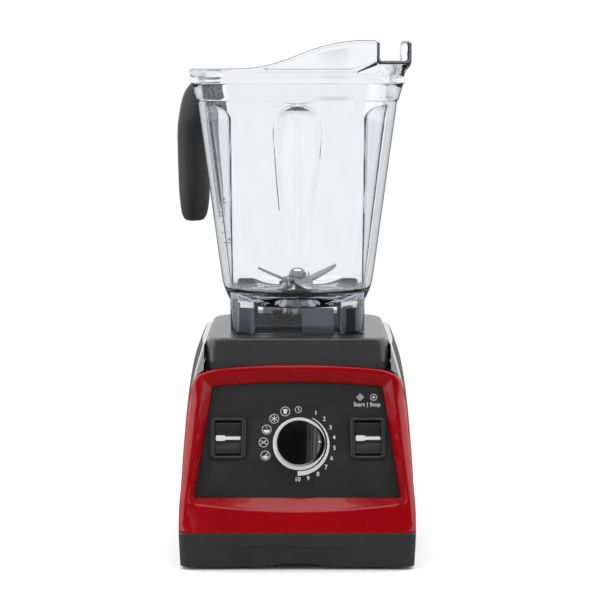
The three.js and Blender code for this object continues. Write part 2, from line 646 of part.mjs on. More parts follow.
// Bracket: a cross bar with a bearing cup and two legs that reach the stator
function makeBracket(barBottom, barTop, cupBottom, cupTop, cupInside, legBottom, legTop, barReach) {
  const bar = box([-barReach, -13, barBottom], [barReach, 13, barTop]);
  const cup = rod(cupInside + 2.6, cupBottom, cupTop);
  const legs = [-1, 1].map((side) => box(
    [side > 0 ? BRACKET_LEG_INSIDE : -BRACKET_LEG_OUTSIDE, -10, legBottom],
    [side > 0 ? BRACKET_LEG_OUTSIDE : -BRACKET_LEG_INSIDE, 10, legTop]));
  return join(bar, cup, ...legs);
}

function makeFan() {
  const blades = Array.from({ length: 9 }, (_, i) => {
    const outline = [[10, -0.9], [FAN_RADIUS - 1, 4], [FAN_RADIUS - 1, 6], [10, 0.9]];
    const blade = prism(outline.map(([x, y]) => new THREE.Vector2(x, y)), 25, 36);
    return blade.rotate([0, 0, (360 * i) / 9]);
  });
  const disc = join(rod(FAN_RADIUS, 24, 26, 0, 0, 36), rod(12, 24, 38), ...blades);
  return cut(disc, rod(SHAFT_BORE, 20, 40));
}

function buildMotor() {
  addPiece(group, 'stator_stack', makeStator(), steel);
  addPiece(group, 'field_coil_rear', makeFieldCoil(0), copper);
  addPiece(group, 'field_coil_front', makeFieldCoil(180), copper);
  const lower = makeBracket(8, 11, 8, 20, 11.4, 8, STATOR_BOTTOM - GAP, BRACKET_LEG_OUTSIDE);
  addPiece(group, 'lower_bearing_bracket', cut(lower, rod(11.4, 11, 22, 0, 0, 24)), aluminium);
  const upper = makeBracket(148, 152, 137, 152, 13.4, STATOR_TOP + GAP, 150, 56);
  const earBores = [-1, 1].map((side) => rod(SCREW_HOLE_RADIUS, 140, 160, side * 50, 0));
  const upperBores = [rod(13.4, 130, 148, 0, 0, 24), rod(8, 140, 160, 0, 0, 16), ...earBores];
  addPiece(group, 'upper_bearing_bracket', cut(upper, ...upperBores), aluminium);
  addPiece(group, 'lower_bearing', tube(SHAFT_BORE, 11.1, 11.3, 19.5), steel);
  addPiece(group, 'upper_bearing', tube(SHAFT_BORE, 13.1, 138, 147.7), steel);
  for (const [name, side] of [['left', -1], ['right', 1]]) {
    const span = (near, far) => (side > 0 ? [near, far] : [-far, -near]);
    const [holderLow, holderHigh] = span(16.5, 36.7);
    const sleeve = box([holderLow, -6, 46], [holderHigh, 6, 56]);
    const holder = cut(sleeve, box([-50, -4.7, 47.2], [50, 4.7, 54.8]));
    addPiece(group, `brush_holder_${name}`, holder, nylon);
    const [brushLow, brushHigh] = span(14.4, 32);
    addPiece(group, `carbon_brush_${name}`, box([brushLow, -4.3, 47.6], [brushHigh, 4.3, 54.4]), carbon);
    const screw = join(rod(4, 145.6, 147.7, 0, 0, 16), rod(SCREW_RADIUS, 147, 158));
    addPiece(group, `motor_screw_${name}`, screw, steel).position.set(side * 50, 0, 0);
  }
  addPiece(group, 'air_duct_ring', tube(50, 52, SHELL + GAP, 40, 36), charcoal);
}

function buildRotor() {
  addPiece(group, 'motor_shaft', rod(SHAFT_RADIUS, 11.6, 192.6, 0, 0, 24), steel);
  const core = turned([[0, 62], [23.5, 62], [23.5, 70], [ARMATURE_RADIUS, 70], [ARMATURE_RADIUS, 120],
    [23.5, 120], [23.5, 130], [0, 130]], 24);
  addPiece(group, 'armature', cut(core, rod(SHAFT_BORE, 50, 140)), copper);
  addPiece(group, 'commutator', tube(SHAFT_BORE, 14, 44, 58), copper);
  addPiece(group, 'cooling_fan', makeFan(), nylon);
  const socket = turned([[0, 188], [11, 188], [13, 190], [13, SOCKET_TOP - 1], [12, SOCKET_TOP],
    [0, SOCKET_TOP]], 20);
  const splineBore = prism(splineOutline(6.4, 7.2), 193, SOCKET_TOP + 1);
  addPiece(group, 'drive_socket', cut(socket, rod(SHAFT_BORE, 180, 193.5), splineBore), steel);
}

// ---------------------------------------------------------------- jug

function smooth(share) {
  const t = THREE.MathUtils.clamp(share, 0, 1);
  return t * t * (3 - 2 * t);
}

function fluteHalfWidth(z) {
  if (z > FLUTE_WIDEST) {
    const rise = Math.min((z - FLUTE_WIDEST) / (FLUTE_TOP - FLUTE_WIDEST), 1);
    return Math.max(FLUTE_HALF_WIDTH * Math.sqrt(1 - rise * rise), 6);
  }
  return Math.max((FLUTE_HALF_WIDTH * (z - FLUTE_BOTTOM)) / (FLUTE_WIDEST - FLUTE_BOTTOM), 6);
}

// One quarter of the vessel's outline: a face along -Y, then the corner towards +X
function vesselQuarter(z, halfWidth, radius, inset) {
  const wall = halfWidth - inset;
  const straight = halfWidth - radius;
  const flute = Math.min(fluteHalfWidth(z), straight * 0.8);
  const open = z > FLUTE_BOTTOM && z < FLUTE_TOP;
  const depth = open ? halfWidth - FLUTE_RIDGE : 0;
  const shares = [-1.15, -0.8, -0.4, 0, 0.4, 0.8, 1.15];
  const face = shares.map((share) => {
    const inside = Math.abs(share) < 1 ? Math.cos((share * Math.PI) / 2) ** 0.7 : 0;
    return new THREE.Vector2(share * flute, -wall + depth * inside);
  });
  const corner = arc(straight, -straight, radius - inset, -90, -15, 5);
  return [new THREE.Vector2(-straight, -wall), ...face, ...corner];
}

function vesselRing(z, halfWidth, radius, inset = 0) {
  const quarter = vesselQuarter(z, halfWidth, radius, inset);
  const origin = new THREE.Vector2();
  const outline = [0, 1, 2, 3].flatMap((turn) =>
    quarter.map((point) => point.clone().rotateAround(origin, (turn * Math.PI) / 2)));
  return ringAt(outline, z);
}

// Height of the rim above a point on the outline; it climbs along two faces towards the spout
function rimHeight(x, y, halfWidth) {
  const along = Math.abs(y) > Math.abs(x) ? x : -y;
  const nearSpout = x > halfWidth - 1 || y < -halfWidth + 1;
  const climb = smooth((along - SPOUT_RISE_START) / (SPOUT_RISE_END - SPOUT_RISE_START));
  return nearSpout ? RIM + (SPOUT_CHEEK_HEIGHT - RIM) * climb : RIM;
}

// The rim's ring: level round the back and the left, climbing to the spout's cheeks and its lip
function rimRing(inset) {
  const ring = vesselRing(RIM, COLLAR_HALF_WIDTH, VESSEL_CORNER, inset);
  for (const point of ring) {
    point.z = rimHeight(point.x, point.y, COLLAR_HALF_WIDTH - inset);
  }
  const quarter = ring.length / 4;
  const lipReach = SPOUT_LIP_X - inset * Math.SQRT1_2;
  const lipPoint = (offset, z) => new THREE.Vector3(
    lipReach + offset * Math.SQRT1_2, -lipReach + offset * Math.SQRT1_2, z);
  const tipOffset = SPOUT_LIP_HALF - inset;
  const lip = [
    lipPoint(-tipOffset, SPOUT_TIP_HEIGHT),
    lipPoint(-tipOffset + 1.6, SPOUT_LIP_HEIGHT),
    lipPoint(0, SPOUT_LIP_HEIGHT),
    lipPoint(tipOffset - 1.6, SPOUT_LIP_HEIGHT),
    lipPoint(tipOffset, SPOUT_TIP_HEIGHT),
  ];
  lip.forEach((point, i) => ring[quarter - 5 + i].copy(point));
  return ring;
}

// A small outward flange just under the level part of the rim
function flangeRing(z, reach) {
  const ring = vesselRing(z, COLLAR_HALF_WIDTH, VESSEL_CORNER, -reach);
  const plain = vesselRing(z, COLLAR_HALF_WIDTH, VESSEL_CORNER);
  return ring.map((point, i) => (plain[i].x > 20 && plain[i].y < -20 ? plain[i] : point));
}

function rimRingWithFlange() {
  const ring = rimRing(0);
  const flange = flangeRing(RIM, RIM_FLANGE);
  return ring.map((point, i) => (point.z < RIM + 0.01 ? flange[i] : point));
}

// The vessel's surface moved inwards, with its floor raised by the floor's thickness
function insetVessel(inset, floor) {
  const bottom = [[JUG_FLOOR + floor, 51, 42], [JUG_FLOOR + floor + 4.5, 61, 44]];
  const walls = VESSEL_ROWS.filter(([z]) => z >= 225);
  return [...bottom, ...walls].map((row) => vesselRing(...row, inset));
}

function makeJug() {
  const outside = VESSEL_ROWS.map((row) => vesselRing(...row));
  const inside = insetVessel(JUG_WALL, JUG_FLOOR_THICKNESS).reverse();
  const cup = loft([...outside, flangeRing(RIM - 1.6, RIM_FLANGE), rimRingWithFlange(), rimRing(JUG_WALL),
    ...inside]);
  const plug = loft(insetVessel(JUG_WALL / 2, JUG_FLOOR_THICKNESS / 2));
  const skirtInside = SKIRT_HALF_WIDTH - SKIRT_WALL;
  const skirt = cut(
    prism(roundedRectangle(SKIRT_HALF_WIDTH, SKIRT_HALF_WIDTH, SKIRT_CORNER, 5), SKIRT_BOTTOM, SKIRT_TOP),
    prism(roundedRectangle(skirtInside, skirtInside, SKIRT_CORNER - SKIRT_WALL),
      SKIRT_BOTTOM - 1, SKIRT_TOP - 3));
  const lug = inFrame(corner, box([98, -LUG_HALF_WIDTH, LUG_BOTTOM], [LUG_REACH, LUG_HALF_WIDTH, LUG_TOP]));
  const screwBores = HANDLE_SCREW_HEIGHTS.map((z) => inFrame(corner, handleBolt(z, SCREW_HOLE_RADIUS, 30)));
  const whole = join(cup, skirt.subtract(plug), lug.subtract(plug));
  return cut(whole, rod(FLOOR_BORE, 200, 222, 0, 0, 28), ...screwBores);
}

// A rod across the handle at height z
function handleBolt(z, radius, halfLength) {
  return moved(rod(radius, -halfLength, halfLength, 0, 0, 14).rotate([90, 0, 0]), HANDLE_SCREW_R, 0, z);
}

// ---------------------------------------------------------------- handle, in the corner frame

function handleRing([z, rInside, rOutside, halfWidth], steps = 16) {
  const middle = (rInside + rOutside) / 2;
  const halfDepth = (rOutside - rInside) / 2;
  return Array.from({ length: steps }, (_, i) => {
    const angle = (2 * Math.PI * i) / steps;
    const squash = (value) => Math.sign(value) * Math.abs(value) ** 0.78;
    const across = halfWidth * squash(Math.sin(angle));
    return new THREE.Vector3(middle + halfDepth * squash(Math.cos(angle)), across, z);
  });
}

function handleCoreBlank(grow) {
  const block = box([116 - grow, -12 - grow, 364 - grow], [131 + grow, 12 + grow, 388 + grow]);
  const bar = box([127 - grow, -9 - grow, 282 - grow], [139 + grow, 9 + grow, 366 + grow]);
  return join(block, bar);
}

function buildHandle() {
  const jugOutside = loft([...VESSEL_ROWS.filter(([z]) => z > 300), [420, COLLAR_HALF_WIDTH, VESSEL_CORNER]]
    .map((row) => vesselRing(...row, -GAP)));
  const jugInCorner = jugOutside.rotate([0, 0, -135]);
  const lugSpace = box([90, -LUG_HALF_WIDTH - GAP, LUG_BOTTOM - GAP],
    [LUG_REACH + GAP, LUG_HALF_WIDTH + GAP, LUG_TOP + GAP]);
  const bores = HANDLE_SCREW_HEIGHTS.map((z) => handleBolt(z, SCREW_HOLE_RADIUS, 13));
  const headSpaces = HANDLE_SCREW_HEIGHTS.map((z) =>
    moved(rod(3.9, 0, 3, 0, 0, 16).rotate([-90, 0, 0]), HANDLE_SCREW_R, 12, z));
  const core = cut(handleCoreBlank(0), lugSpace, jugInCorner, ...bores);
  const gripBlank = loft(HANDLE_ROWS.map((row) => handleRing(row)));
  const grip = cut(gripBlank, handleCoreBlank(GAP), lugSpace, jugInCorner, ...bores, ...headSpaces);
  addPiece(corner, 'handle_core', core, charcoal);
  addPiece(corner, 'handle_grip', grip, softGrip);
  HANDLE_SCREW_HEIGHTS.forEach((z, i) => {
    const shank = moved(rod(SCREW_RADIUS, -11.5, 12.6).rotate([-90, 0, 0]), HANDLE_SCREW_R, 0, z);
    const head = moved(rod(3.5, 12.4, 14.4, 0, 0, 16).rotate([-90, 0, 0]), HANDLE_SCREW_R, 0, z);
    addPiece(corner, `handle_screw_${i + 1}`, join(shank, head), steel);
  });
}

// ---------------------------------------------------------------- blade unit

function makeWing(turn, bend) {
  const outline = [[11, -8], [16, -8.5], [33, -5], [BLADE_REACH, 3.5], [30, 4.5], [16, 7.5], [11, 8]];
  const sheet = prism(outline.map(([x, y]) => new THREE.Vector2(x, y)), -0.9, 0.9);
  const hinge = 13;
  const bent = moved(moved(sheet, -hinge, 0, 0).rotate([0, bend, 0]), hinge, 0, 0);
  return moved(bent.rotate([0, 0, turn]), 0, 0, BLADE_PLANE);
}

function buildBladeUnit() {
  const seat = JUG_FLOOR + JUG_FLOOR_THICKNESS + GAP;
  const bearingBody = turned([[0, 206], [14, 206], [14, seat], [19, seat], [19, seat + 1.7],
    [12, JUG_FLOOR + 10], [9.5, BLADE_PLANE - 1.6], [0, BLADE_PLANE - 1.6]], 28);
  addPiece(group, 'blade_bearing_housing', cut(bearingBody, rod(SHAFT_BORE, 200, 230)), steel);
  const nut = cut(prism(splineOutline(21, 24.5, 8), 205.6, JUG_FLOOR - GAP), rod(14.3, 200, 215, 0, 0, 28));
  addPiece(group, 'retainer_nut', nut, aluminium);
  const shaft = join(rod(SHAFT_RADIUS, 204, 232, 0, 0, 24), prism(splineOutline(5.5, 6.3), 194, 205));
  addPiece(group, 'blade_shaft', shaft, steel);
  const hub = rod(12.5, BLADE_PLANE - 0.9, BLADE_PLANE + 0.9);
  const wings = [makeWing(20, -24), makeWing(200, -24), makeWing(110, 17), makeWing(290, 17)];
  addPiece(group, 'blade_wings', cut(join(hub, ...wings), rod(SHAFT_BORE, 220, 240)), steel);
  const nutBottom = BLADE_PLANE + 1.2;
  const capNut = turned([[0, nutBottom], [8, nutBottom], [8, 231.5], [5, 234.5], [0, 235.3]], 6);
  addPiece(group, 'blade_cap_nut', cut(capNut, rod(SHAFT_BORE, 220, 232.3)), steel);
}

// ---------------------------------------------------------------- assembly

buildBaseShells();
buildPaddleSwitch('pulse', PULSE_U);
buildPaddleSwitch('start_stop', START_STOP_U);
buildDial();
buildControlBoard();
buildRearFace();
buildMotor();
buildRotor();
addPiece(group, 'jug_body', makeJug(), clearPlastic);
buildHandle();
buildBladeUnit();

export default group;
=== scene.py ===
"""Countertop blender: the visual model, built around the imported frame.

Lengths are in millimetres here and become metres when a mesh is made. +Z is up, the front faces -Y and the
drive axis is x = y = 0. On the leaning control front, u runs across, v up the slope and w out of the panel.
"""

import json
import math

import bmesh
import bpy
from mathutils import Matrix, Vector


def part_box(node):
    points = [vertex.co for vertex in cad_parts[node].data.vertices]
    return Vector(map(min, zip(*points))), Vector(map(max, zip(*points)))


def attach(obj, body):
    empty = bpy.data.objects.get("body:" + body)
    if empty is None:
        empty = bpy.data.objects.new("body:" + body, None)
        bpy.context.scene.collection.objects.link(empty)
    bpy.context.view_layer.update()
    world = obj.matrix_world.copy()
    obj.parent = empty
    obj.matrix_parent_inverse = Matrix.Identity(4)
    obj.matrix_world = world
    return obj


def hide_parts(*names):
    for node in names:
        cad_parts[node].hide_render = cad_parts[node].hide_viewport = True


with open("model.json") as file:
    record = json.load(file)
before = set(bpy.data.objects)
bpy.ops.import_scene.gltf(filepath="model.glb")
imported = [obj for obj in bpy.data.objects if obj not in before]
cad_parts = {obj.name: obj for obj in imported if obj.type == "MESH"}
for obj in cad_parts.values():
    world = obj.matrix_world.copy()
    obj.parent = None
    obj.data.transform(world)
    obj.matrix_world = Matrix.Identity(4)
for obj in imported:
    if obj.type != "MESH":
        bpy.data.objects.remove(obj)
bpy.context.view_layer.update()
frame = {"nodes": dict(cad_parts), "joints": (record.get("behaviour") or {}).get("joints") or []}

MM = 0.001
SHELL = 3  # wall thickness of the base's shells
TAU = 2 * math.pi


def box_mm(node):
    low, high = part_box(node)
    return low / MM, high / MM


def centre_mm(node):
    low, high = box_mm(node)
    return (low + high) / 2


def joint(name):
    return next(j for j in frame["joints"] if j["name"] == name)


# ---------------------------------------------------------------- sizes taken from the frame

TRAY_LOW, TRAY_HIGH = box_mm("base_tray")
CAP_LOW, CAP_HIGH = box_mm("pedestal_cap")
PAD_LOW, PAD_HIGH = box_mm("centring_pad")
TRAY_TOP = TRAY_HIGH.z
FRONT_Y = TRAY_LOW.y
HOUSING_TOP = box_mm("rear_housing")[1].z
CAP_TOP = CAP_HIGH.z
CAP_BOTTOM = CAP_LOW.z
SKIRT_BOTTOM = box_mm("jug_body")[0].z

# The leaning front: its outward normal is the dial's axis
FRONT_NORMAL = Vector(joint("dial_turn")["axis"]).normalized()
FRONT_UP = FRONT_NORMAL.cross(Vector((1, 0, 0)))
FRONT_ORIGIN = Vector((0, FRONT_Y, TRAY_TOP))
FRONT_AXES = Matrix((Vector((1, 0, 0)), FRONT_UP, FRONT_NORMAL)).transposed().to_4x4()
FRONT = Matrix.Translation(FRONT_ORIGIN) @ FRONT_AXES
LEAN_TAN = FRONT_UP.y / FRONT_UP.z
RECESS = 8  # the panel's face lies this far behind the fascia's front plane
FASCIA_DEPTH = 14


def in_front(point):
    """(u, v) of a joint position in the leaning plane."""
    local = FRONT.inverted() @ (Vector(point) / MM)
    return local.x, local.y


DIAL_U, DIAL_V = in_front(joint("dial_turn")["pos_m"])
PULSE_U, SWITCH_V = in_front(joint("pulse_press")["pos_m"])
START_U, _ = in_front(joint("start_stop_press")["pos_m"])
PADDLE_PIVOT = 13  # depth of the paddles' pivots behind the front plane

# Half-widths of the base by height: at its front edge, at its middle, and its back edge
FRONT_ROWS = [(0, 96.9), (28.4, 98), (44, 98), (64, 96.7), (90, 95.2), (116, 93), (136, 90.4), (148, 88),
              (160, 85), (170, 82), (178, 79.5)]
MIDDLE_ROWS = [(0, 96.9), (28.4, 98), (60, 98), (100, 97), (130, 94.5), (147, 92), (160, 89.3), (170, 86),
               (178, 82.2)]
BACK_ROWS = [(0, 108), (28.4, 109), (100, 108), (140, 105.5), (160, 103), (170, 101), (178, 98.5)]
CORNER_ROWS = [(0, 6.5), (28.4, 6.5), (60, 8), (110, 12), (178, 12)]  # front corners' radius by height
REAR_CORNER = 34
TOE_IN = 0.04  # how far the tray's front stands back for each millimetre below its top

# Vessel of the jug by height: half-width and corner radius
VESSEL_ROWS = [(213, 60.5, 47), (218, 62.1, 42.5), (225, 64, 38), (245, 66.8, 36), (280, 71.2, 36),
               (357, 81, 36), (370, 82.7, 36), (378, 83.7, 36), (381.5, 84.2, 36), (382.3, 85, 36),
               (395.6, 89.2, 36), (396.4, 90, 36), (400.2, 90, 36), (401, 89.6, 36), (403.5, 90, 36)]
# Half-width of a flute by height, and the heights where it starts, is widest, starts to round off and ends
FLUTE_ROWS = [(213, 0.6), (222, 5), (235, 9.5), (255, 12.6), (298, 16.2), (330, 18.8), (357, 20.2),
              (363, 19.6), (369, 16.8), (373, 12), (375.5, 7), (377, 2)]
FLUTE_BOTTOM, FLUTE_WIDEST, FLUTE_SHOULDER, FLUTE_TOP = 213, 357, 364, 377
FLUTE_RIDGE = 61.2  # distance of a flute's ridge from the axis
WALL = 3.2
COLLAR_TOP = 403.5
CREASE_RISE = 1.6  # the crease below the rim runs this far above the collar
RIM = 406.4
FLANGE = 1.4
# Height of the rim along the two walls that climb to the spout
RIM_ROWS = [(-52, 406.4), (-45, 406.5), (-34, 407.4), (-22, 410), (-10, 413.6), (4.5, 419.2), (19, 424.2),
            (34, 427.6), (49, 429.6)]
LIP_REACH = 112.15  # distance of the spout's end from the axis, along the corner's diagonal
LIP_HALF = 21.2
LIP_WALL = 3.7
LIP_BOTTOM, LIP_FLOOR = 411.4, 414.6
TIP = 432

# ---------------------------------------------------------------- small geometry helpers


def arc(cx, cy, radius, start, end, steps):
    angles = [math.radians(start + (end - start) * i / steps) for i in range(steps + 1)]
    return [(cx + radius * math.cos(a), cy + radius * math.sin(a)) for a in angles]


def rounded_rectangle(half_x, half_y, radius, steps=6, cx=0.0, cy=0.0):
    return [
        *arc(cx + half_x - radius, cy - half_y + radius, radius, -90, 0, steps),
        *arc(cx + half_x - radius, cy + half_y - radius, radius, 0, 90, steps),
        *arc(cx - half_x + radius, cy + half_y - radius, radius, 90, 180, steps),
        *arc(cx - half_x + radius, cy - half_y + radius, radius, 180, 270, steps),
    ]


def circle(radius, steps=48, cx=0.0, cy=0.0):
    angles = [TAU * i / steps for i in range(steps)]
    return [(cx + radius * math.cos(a), cy + radius * math.sin(a)) for a in angles]


def mirrored(half):
    """A closed outline or ring from its right half, which starts and ends on the centre line."""
    return half + [(-x, *rest) for x, *rest in reversed(half[1:-1])]


def at_height(outline, z):
    return [(x, y, z) for x, y in outline]


def mix(a, b, share):
    return a + (b - a) * share


def mix_points(a, b, share):
    return tuple(mix(p, q, share) for p, q in zip(a, b))


def smooth(share):
    t = min(max(share, 0), 1)
    return t * t * (3 - 2 * t)


def curve_value(rows, x, column=1):
    """Smooth interpolation through [x, value, ...] rows, with limited slopes so that it never overshoots."""
    if x <= rows[0][0]:
        return rows[0][column]
    if x >= rows[-1][0]:
        return rows[-1][column]
    i = next(k for k in range(len(rows) - 1) if rows[k + 1][0] >= x)

    def slope(k):
        if k < 0 or k >= len(rows) - 1:
            return None
        return (rows[k + 1][column] - rows[k][column]) / (rows[k + 1][0] - rows[k][0])

    def tangent(k):
        before, after = slope(k - 1), slope(k)
        if before is None or after is None:
            return after if before is None else before
        return 0 if before * after <= 0 else 2 * before * after / (before + after)

    x0, x1 = rows[i][0], rows[i + 1][0]
    y0, y1 = rows[i][column], rows[i + 1][column]
    h = x1 - x0
    t = (x - x0) / h
    return (y0 * (1 + 2 * t) * (1 - t) ** 2 + tangent(i) * h * t * (1 - t) ** 2
            + y1 * t * t * (3 - 2 * t) + tangent(i + 1) * h * t * t * (t - 1))


# A shape is (vertices, faces)


def skin(rings, stretches):
    """Vertices and faces between each ring and the next, for that many stretches."""
    n, m = len(rings[0]), len(rings)
    faces = [(k * n + i, k * n + (i + 1) % n, (k + 1) % m * n + (i + 1) % n, (k + 1) % m * n + i)
             for k in range(stretches) for i in range(n)]
    return [p for ring in rings for p in ring], faces


def loft(rings):
    """Skins rings of equal length and closes both ends with a flat face."""
    vertices, faces = skin(rings, len(rings) - 1)
    n, last = len(rings[0]), len(vertices) - len(rings[0])
    return vertices, [*faces, tuple(reversed(range(n))), tuple(range(last, last + n))]


def closed_loft(rings):
    """Skins rings that come back to the first one, such as a frame or a vessel with an inside."""
    return skin(rings, len(rings))


def plate(outline, low, high):
    return loft([at_height(outline, low), at_height(outline, high)])


def block(low, high):
    corners = [(low[0], low[1]), (high[0], low[1]), (high[0], high[1]), (low[0], high[1])]
    return plate(corners, low[2], high[2])


def turned(profile, steps=64):
    """Turns (radius, z) rows about Z; the first and the last row are closed with flat faces."""
    return loft([at_height(circle(max(r, 0.01), steps), z) for r, z in profile])


def ring_turned(profile, steps=64):
    """Turns a closed (radius, z) profile about Z."""
    return closed_loft([at_height(circle(r, steps), z) for r, z in profile])


def rounded_rings(rows, steps=6):
    """Rounded rectangles as rings; a row is half-width, half-height, corner radius and height."""
    return [at_height(rounded_rectangle(hx, hy, radius, steps), z) for hx, hy, radius, z in rows]


def eased(edge, steps):
    """(inset, drop) pairs round a quarter circle, from beside a wall to level with its end."""
    angles = [math.pi / 2 * i / steps for i in range(1, steps + 1)]
    return [(edge * (1 - math.cos(a)), edge - edge * math.sin(a)) for a in angles]


def placed(shape, matrix):
    return [tuple(matrix @ Vector(p)) for p in shape[0]], shape[1]


def together(*shapes):
    vertices, faces = [], []
    for points, polygons in shapes:
        start = len(vertices)
        vertices += points
        faces += [tuple(start + i for i in polygon) for polygon in polygons]
    return vertices, faces


def at(x, y, z):
    return Matrix.Translation((x, y, z))


def turn(degrees, axis):
    return Matrix.Rotation(math.radians(degrees), 4, axis)


# Stands a side profile up: its first number runs along Y, its second along Z, and its thickness across
SIDE_ON = Matrix(((0, 0, 1, 0), (1, 0, 0, 0), (0, 1, 0, 0), (0, 0, 0, 1)))


# ---------------------------------------------------------------- pieces


def raw_object(name, shape):
    mesh = bpy.data.meshes.new(name)
    mesh.from_pydata([tuple(c * MM for c in p) for p in shape[0]], [], shape[1])
    work = bmesh.new()
    work.from_mesh(mesh)
    bmesh.ops.remove_doubles(work, verts=work.verts, dist=1e-6)
    bmesh.ops.dissolve_degenerate(work, edges=work.edges, dist=1e-7)
    bmesh.ops.recalc_face_normals(work, faces=work.faces)
    work.to_mesh(mesh)
    work.free()
    obj = bpy.data.objects.new(name, mesh)
    bpy.context.scene.collection.objects.link(obj)
    return obj


def apply_modifiers(obj):
    bpy.context.view_layer.update()
    evaluated = obj.evaluated_get(bpy.context.evaluated_depsgraph_get())
    mesh = bpy.data.meshes.new_from_object(evaluated)
    obj.modifiers.clear()
    old = obj.data
    obj.data = mesh
    bpy.data.meshes.remove(old)


def combine(obj, shapes, operation):
    """Cuts shapes from obj, or joins them to it."""
    tools = [raw_object("tool", shape) for shape in shapes]
    for tool in tools:
        modifier = obj.modifiers.new("combine", "BOOLEAN")
        modifier.operation = operation
        modifier.solver = "MANIFOLD"
        modifier.object = tool
    apply_modifiers(obj)
    for tool in tools:
        mesh = tool.data
        bpy.data.objects.remove(tool)
        bpy.data.meshes.remove(mesh)


def bevel(obj, width, segments):
    modifier = obj.modifiers.new("bevel", "BEVEL")
    modifier.width = width * MM
    modifier.segments = segments
    modifier.limit_method = "ANGLE"
    modifier.angle_limit = math.radians(35)
    modifier.harden_normals = False
    apply_modifiers(obj)


def piece(name, shape, material, body, replaces=(), joins=(), cuts=(), round_edges=0, segments=2,
          sharp=40):
    """Makes a finished piece: joins, cuts, rounded edges, shading, finish, and the body it rides on."""
    obj = raw_object(name, shape)
    if joins:
        combine(obj, joins, "UNION")
    if cuts:
        combine(obj, cuts, "DIFFERENCE")
    if round_edges:
        bevel(obj, round_edges, segments)
    mesh = obj.data
    mesh.polygons.foreach_set("use_smooth", [True] * len(mesh.polygons))
    mesh.set_sharp_from_angle(angle=math.radians(sharp))
    mesh.materials.clear()
    mesh.materials.append(material)
    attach(obj, body)
    if replaces:
        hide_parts(*replaces)
    return obj


def refinish(material, *nodes):
    """Gives CAD nodes that stay in view a finished material."""
    for node in nodes:
        mesh = frame["nodes"][node].data
        mesh.materials.clear()
        mesh.materials.append(material)


# ---------------------------------------------------------------- materials


class Graph:
    """The node tree of a material or of the world, with short calls for the nodes used here."""

    def __init__(self, tree):
        self.nodes, self.links = tree.nodes, tree.links
        self.coordinates = self.nodes.new("ShaderNodeTexCoord").outputs

    def find(self, kind):
        return next(n for n in self.nodes if n.type == kind)

    def wire(self, value, socket):
        """Links a socket to another one, or sets it to a number."""
        if isinstance(value, bpy.types.NodeSocket):
            self.links.new(value, socket)
        else:
            socket.default_value = value

    def maths(self, operation, *values, clamp=False):
        node = self.nodes.new("ShaderNodeMath")
        node.operation = operation
        node.use_clamp = clamp
        for value, socket in zip(values, node.inputs):
            self.wire(value, socket)
        return node.outputs["Value"]

    def map_range(self, value, from_low, from_high, to_low=0, to_high=1, interpolation="LINEAR"):
        node = self.nodes.new("ShaderNodeMapRange")
        node.interpolation_type = interpolation
        for name, number in (("From Min", from_low), ("From Max", from_high), ("To Min", to_low),
                             ("To Max", to_high), ("Value", value)):
            self.wire(number, node.inputs[name])
        return node.outputs["Result"]

    def band(self, value, centre, half, soft):
        """1 within half of the centre, falling smoothly to 0 beyond it."""
        distance = self.maths("ABSOLUTE", self.maths("SUBTRACT", value, centre))
        return self.map_range(distance, half + soft / 2, half - soft / 2, interpolation="SMOOTHSTEP")

    def noise(self, size, detail, stretch=(1, 1, 1)):
        """Noise with features about size millimetres across, longer on an axis whose stretch is above 1."""
        mapping = self.nodes.new("ShaderNodeMapping")
        mapping.inputs["Scale"].default_value = [1 / (size * MM * s) for s in stretch]
        self.wire(self.coordinates["Object"], mapping.inputs["Vector"])
        texture = self.nodes.new("ShaderNodeTexNoise")
        texture.inputs["Scale"].default_value = 1
        texture.inputs["Detail"].default_value = detail
        self.wire(mapping.outputs["Vector"], texture.inputs["Vector"])
        return texture.outputs["Fac"]

    def spread(self, value, low, high):
        """Maps a noise value to the range low..high."""
        return self.map_range(value, 0.3, 0.7, low, high)

    def two_tone(self, value, dark, light):
        """A colour that drifts from dark to light with a noise value."""
        ramp = self.nodes.new("ShaderNodeValToRGB")
        for element, position, colour in zip(ramp.color_ramp.elements, (0.3, 0.7), (dark, light)):
            element.position = position
            element.color = (*colour, 1)
        self.wire(value, ramp.inputs["Fac"])
        return ramp.outputs["Color"]

    def relief(self, height, strength, depth):
        """The normal of a bump depth millimetres high."""
        bump = self.nodes.new("ShaderNodeBump")
        bump.inputs["Strength"].default_value = strength
        bump.inputs["Distance"].default_value = depth * MM
        self.wire(height, bump.inputs["Height"])
        return bump.outputs["Normal"]

    def mix_numbers(self, factor, first, second):
        mixer = self.nodes.new("ShaderNodeMix")
        mixer.data_type = "FLOAT"
        for value, index in ((factor, 0), (first, 2), (second, 3)):
            self.wire(value, mixer.inputs[index])
        return mixer.outputs[0]

    def mix_shaders(self, factor, first, second):
        mixer = self.nodes.new("ShaderNodeMixShader")
        for value, socket in zip((factor, first, second), mixer.inputs):
            self.wire(value, socket)
        return mixer.outputs["Shader"]

    def glow(self, strength):
        emission = self.nodes.new("ShaderNodeEmission")
        emission.inputs["Strength"].default_value = strength
        return emission.outputs["Emission"]


def bare_material(name):
    """A new material, its graph and the inputs of its shader."""
    material = bpy.data.materials.new(name)
    material.use_nodes = True
    graph = Graph(material.node_tree)
    return material, graph, graph.find("BSDF_PRINCIPLED").inputs


UNIFORM_SOCKETS = {"metallic": "Metallic", "coat": "Coat Weight", "coat_roughness": "Coat Roughness",
                   "sheen": "Sheen Weight", "specular": "Specular IOR Level",
                   "transmission": "Transmission Weight"}


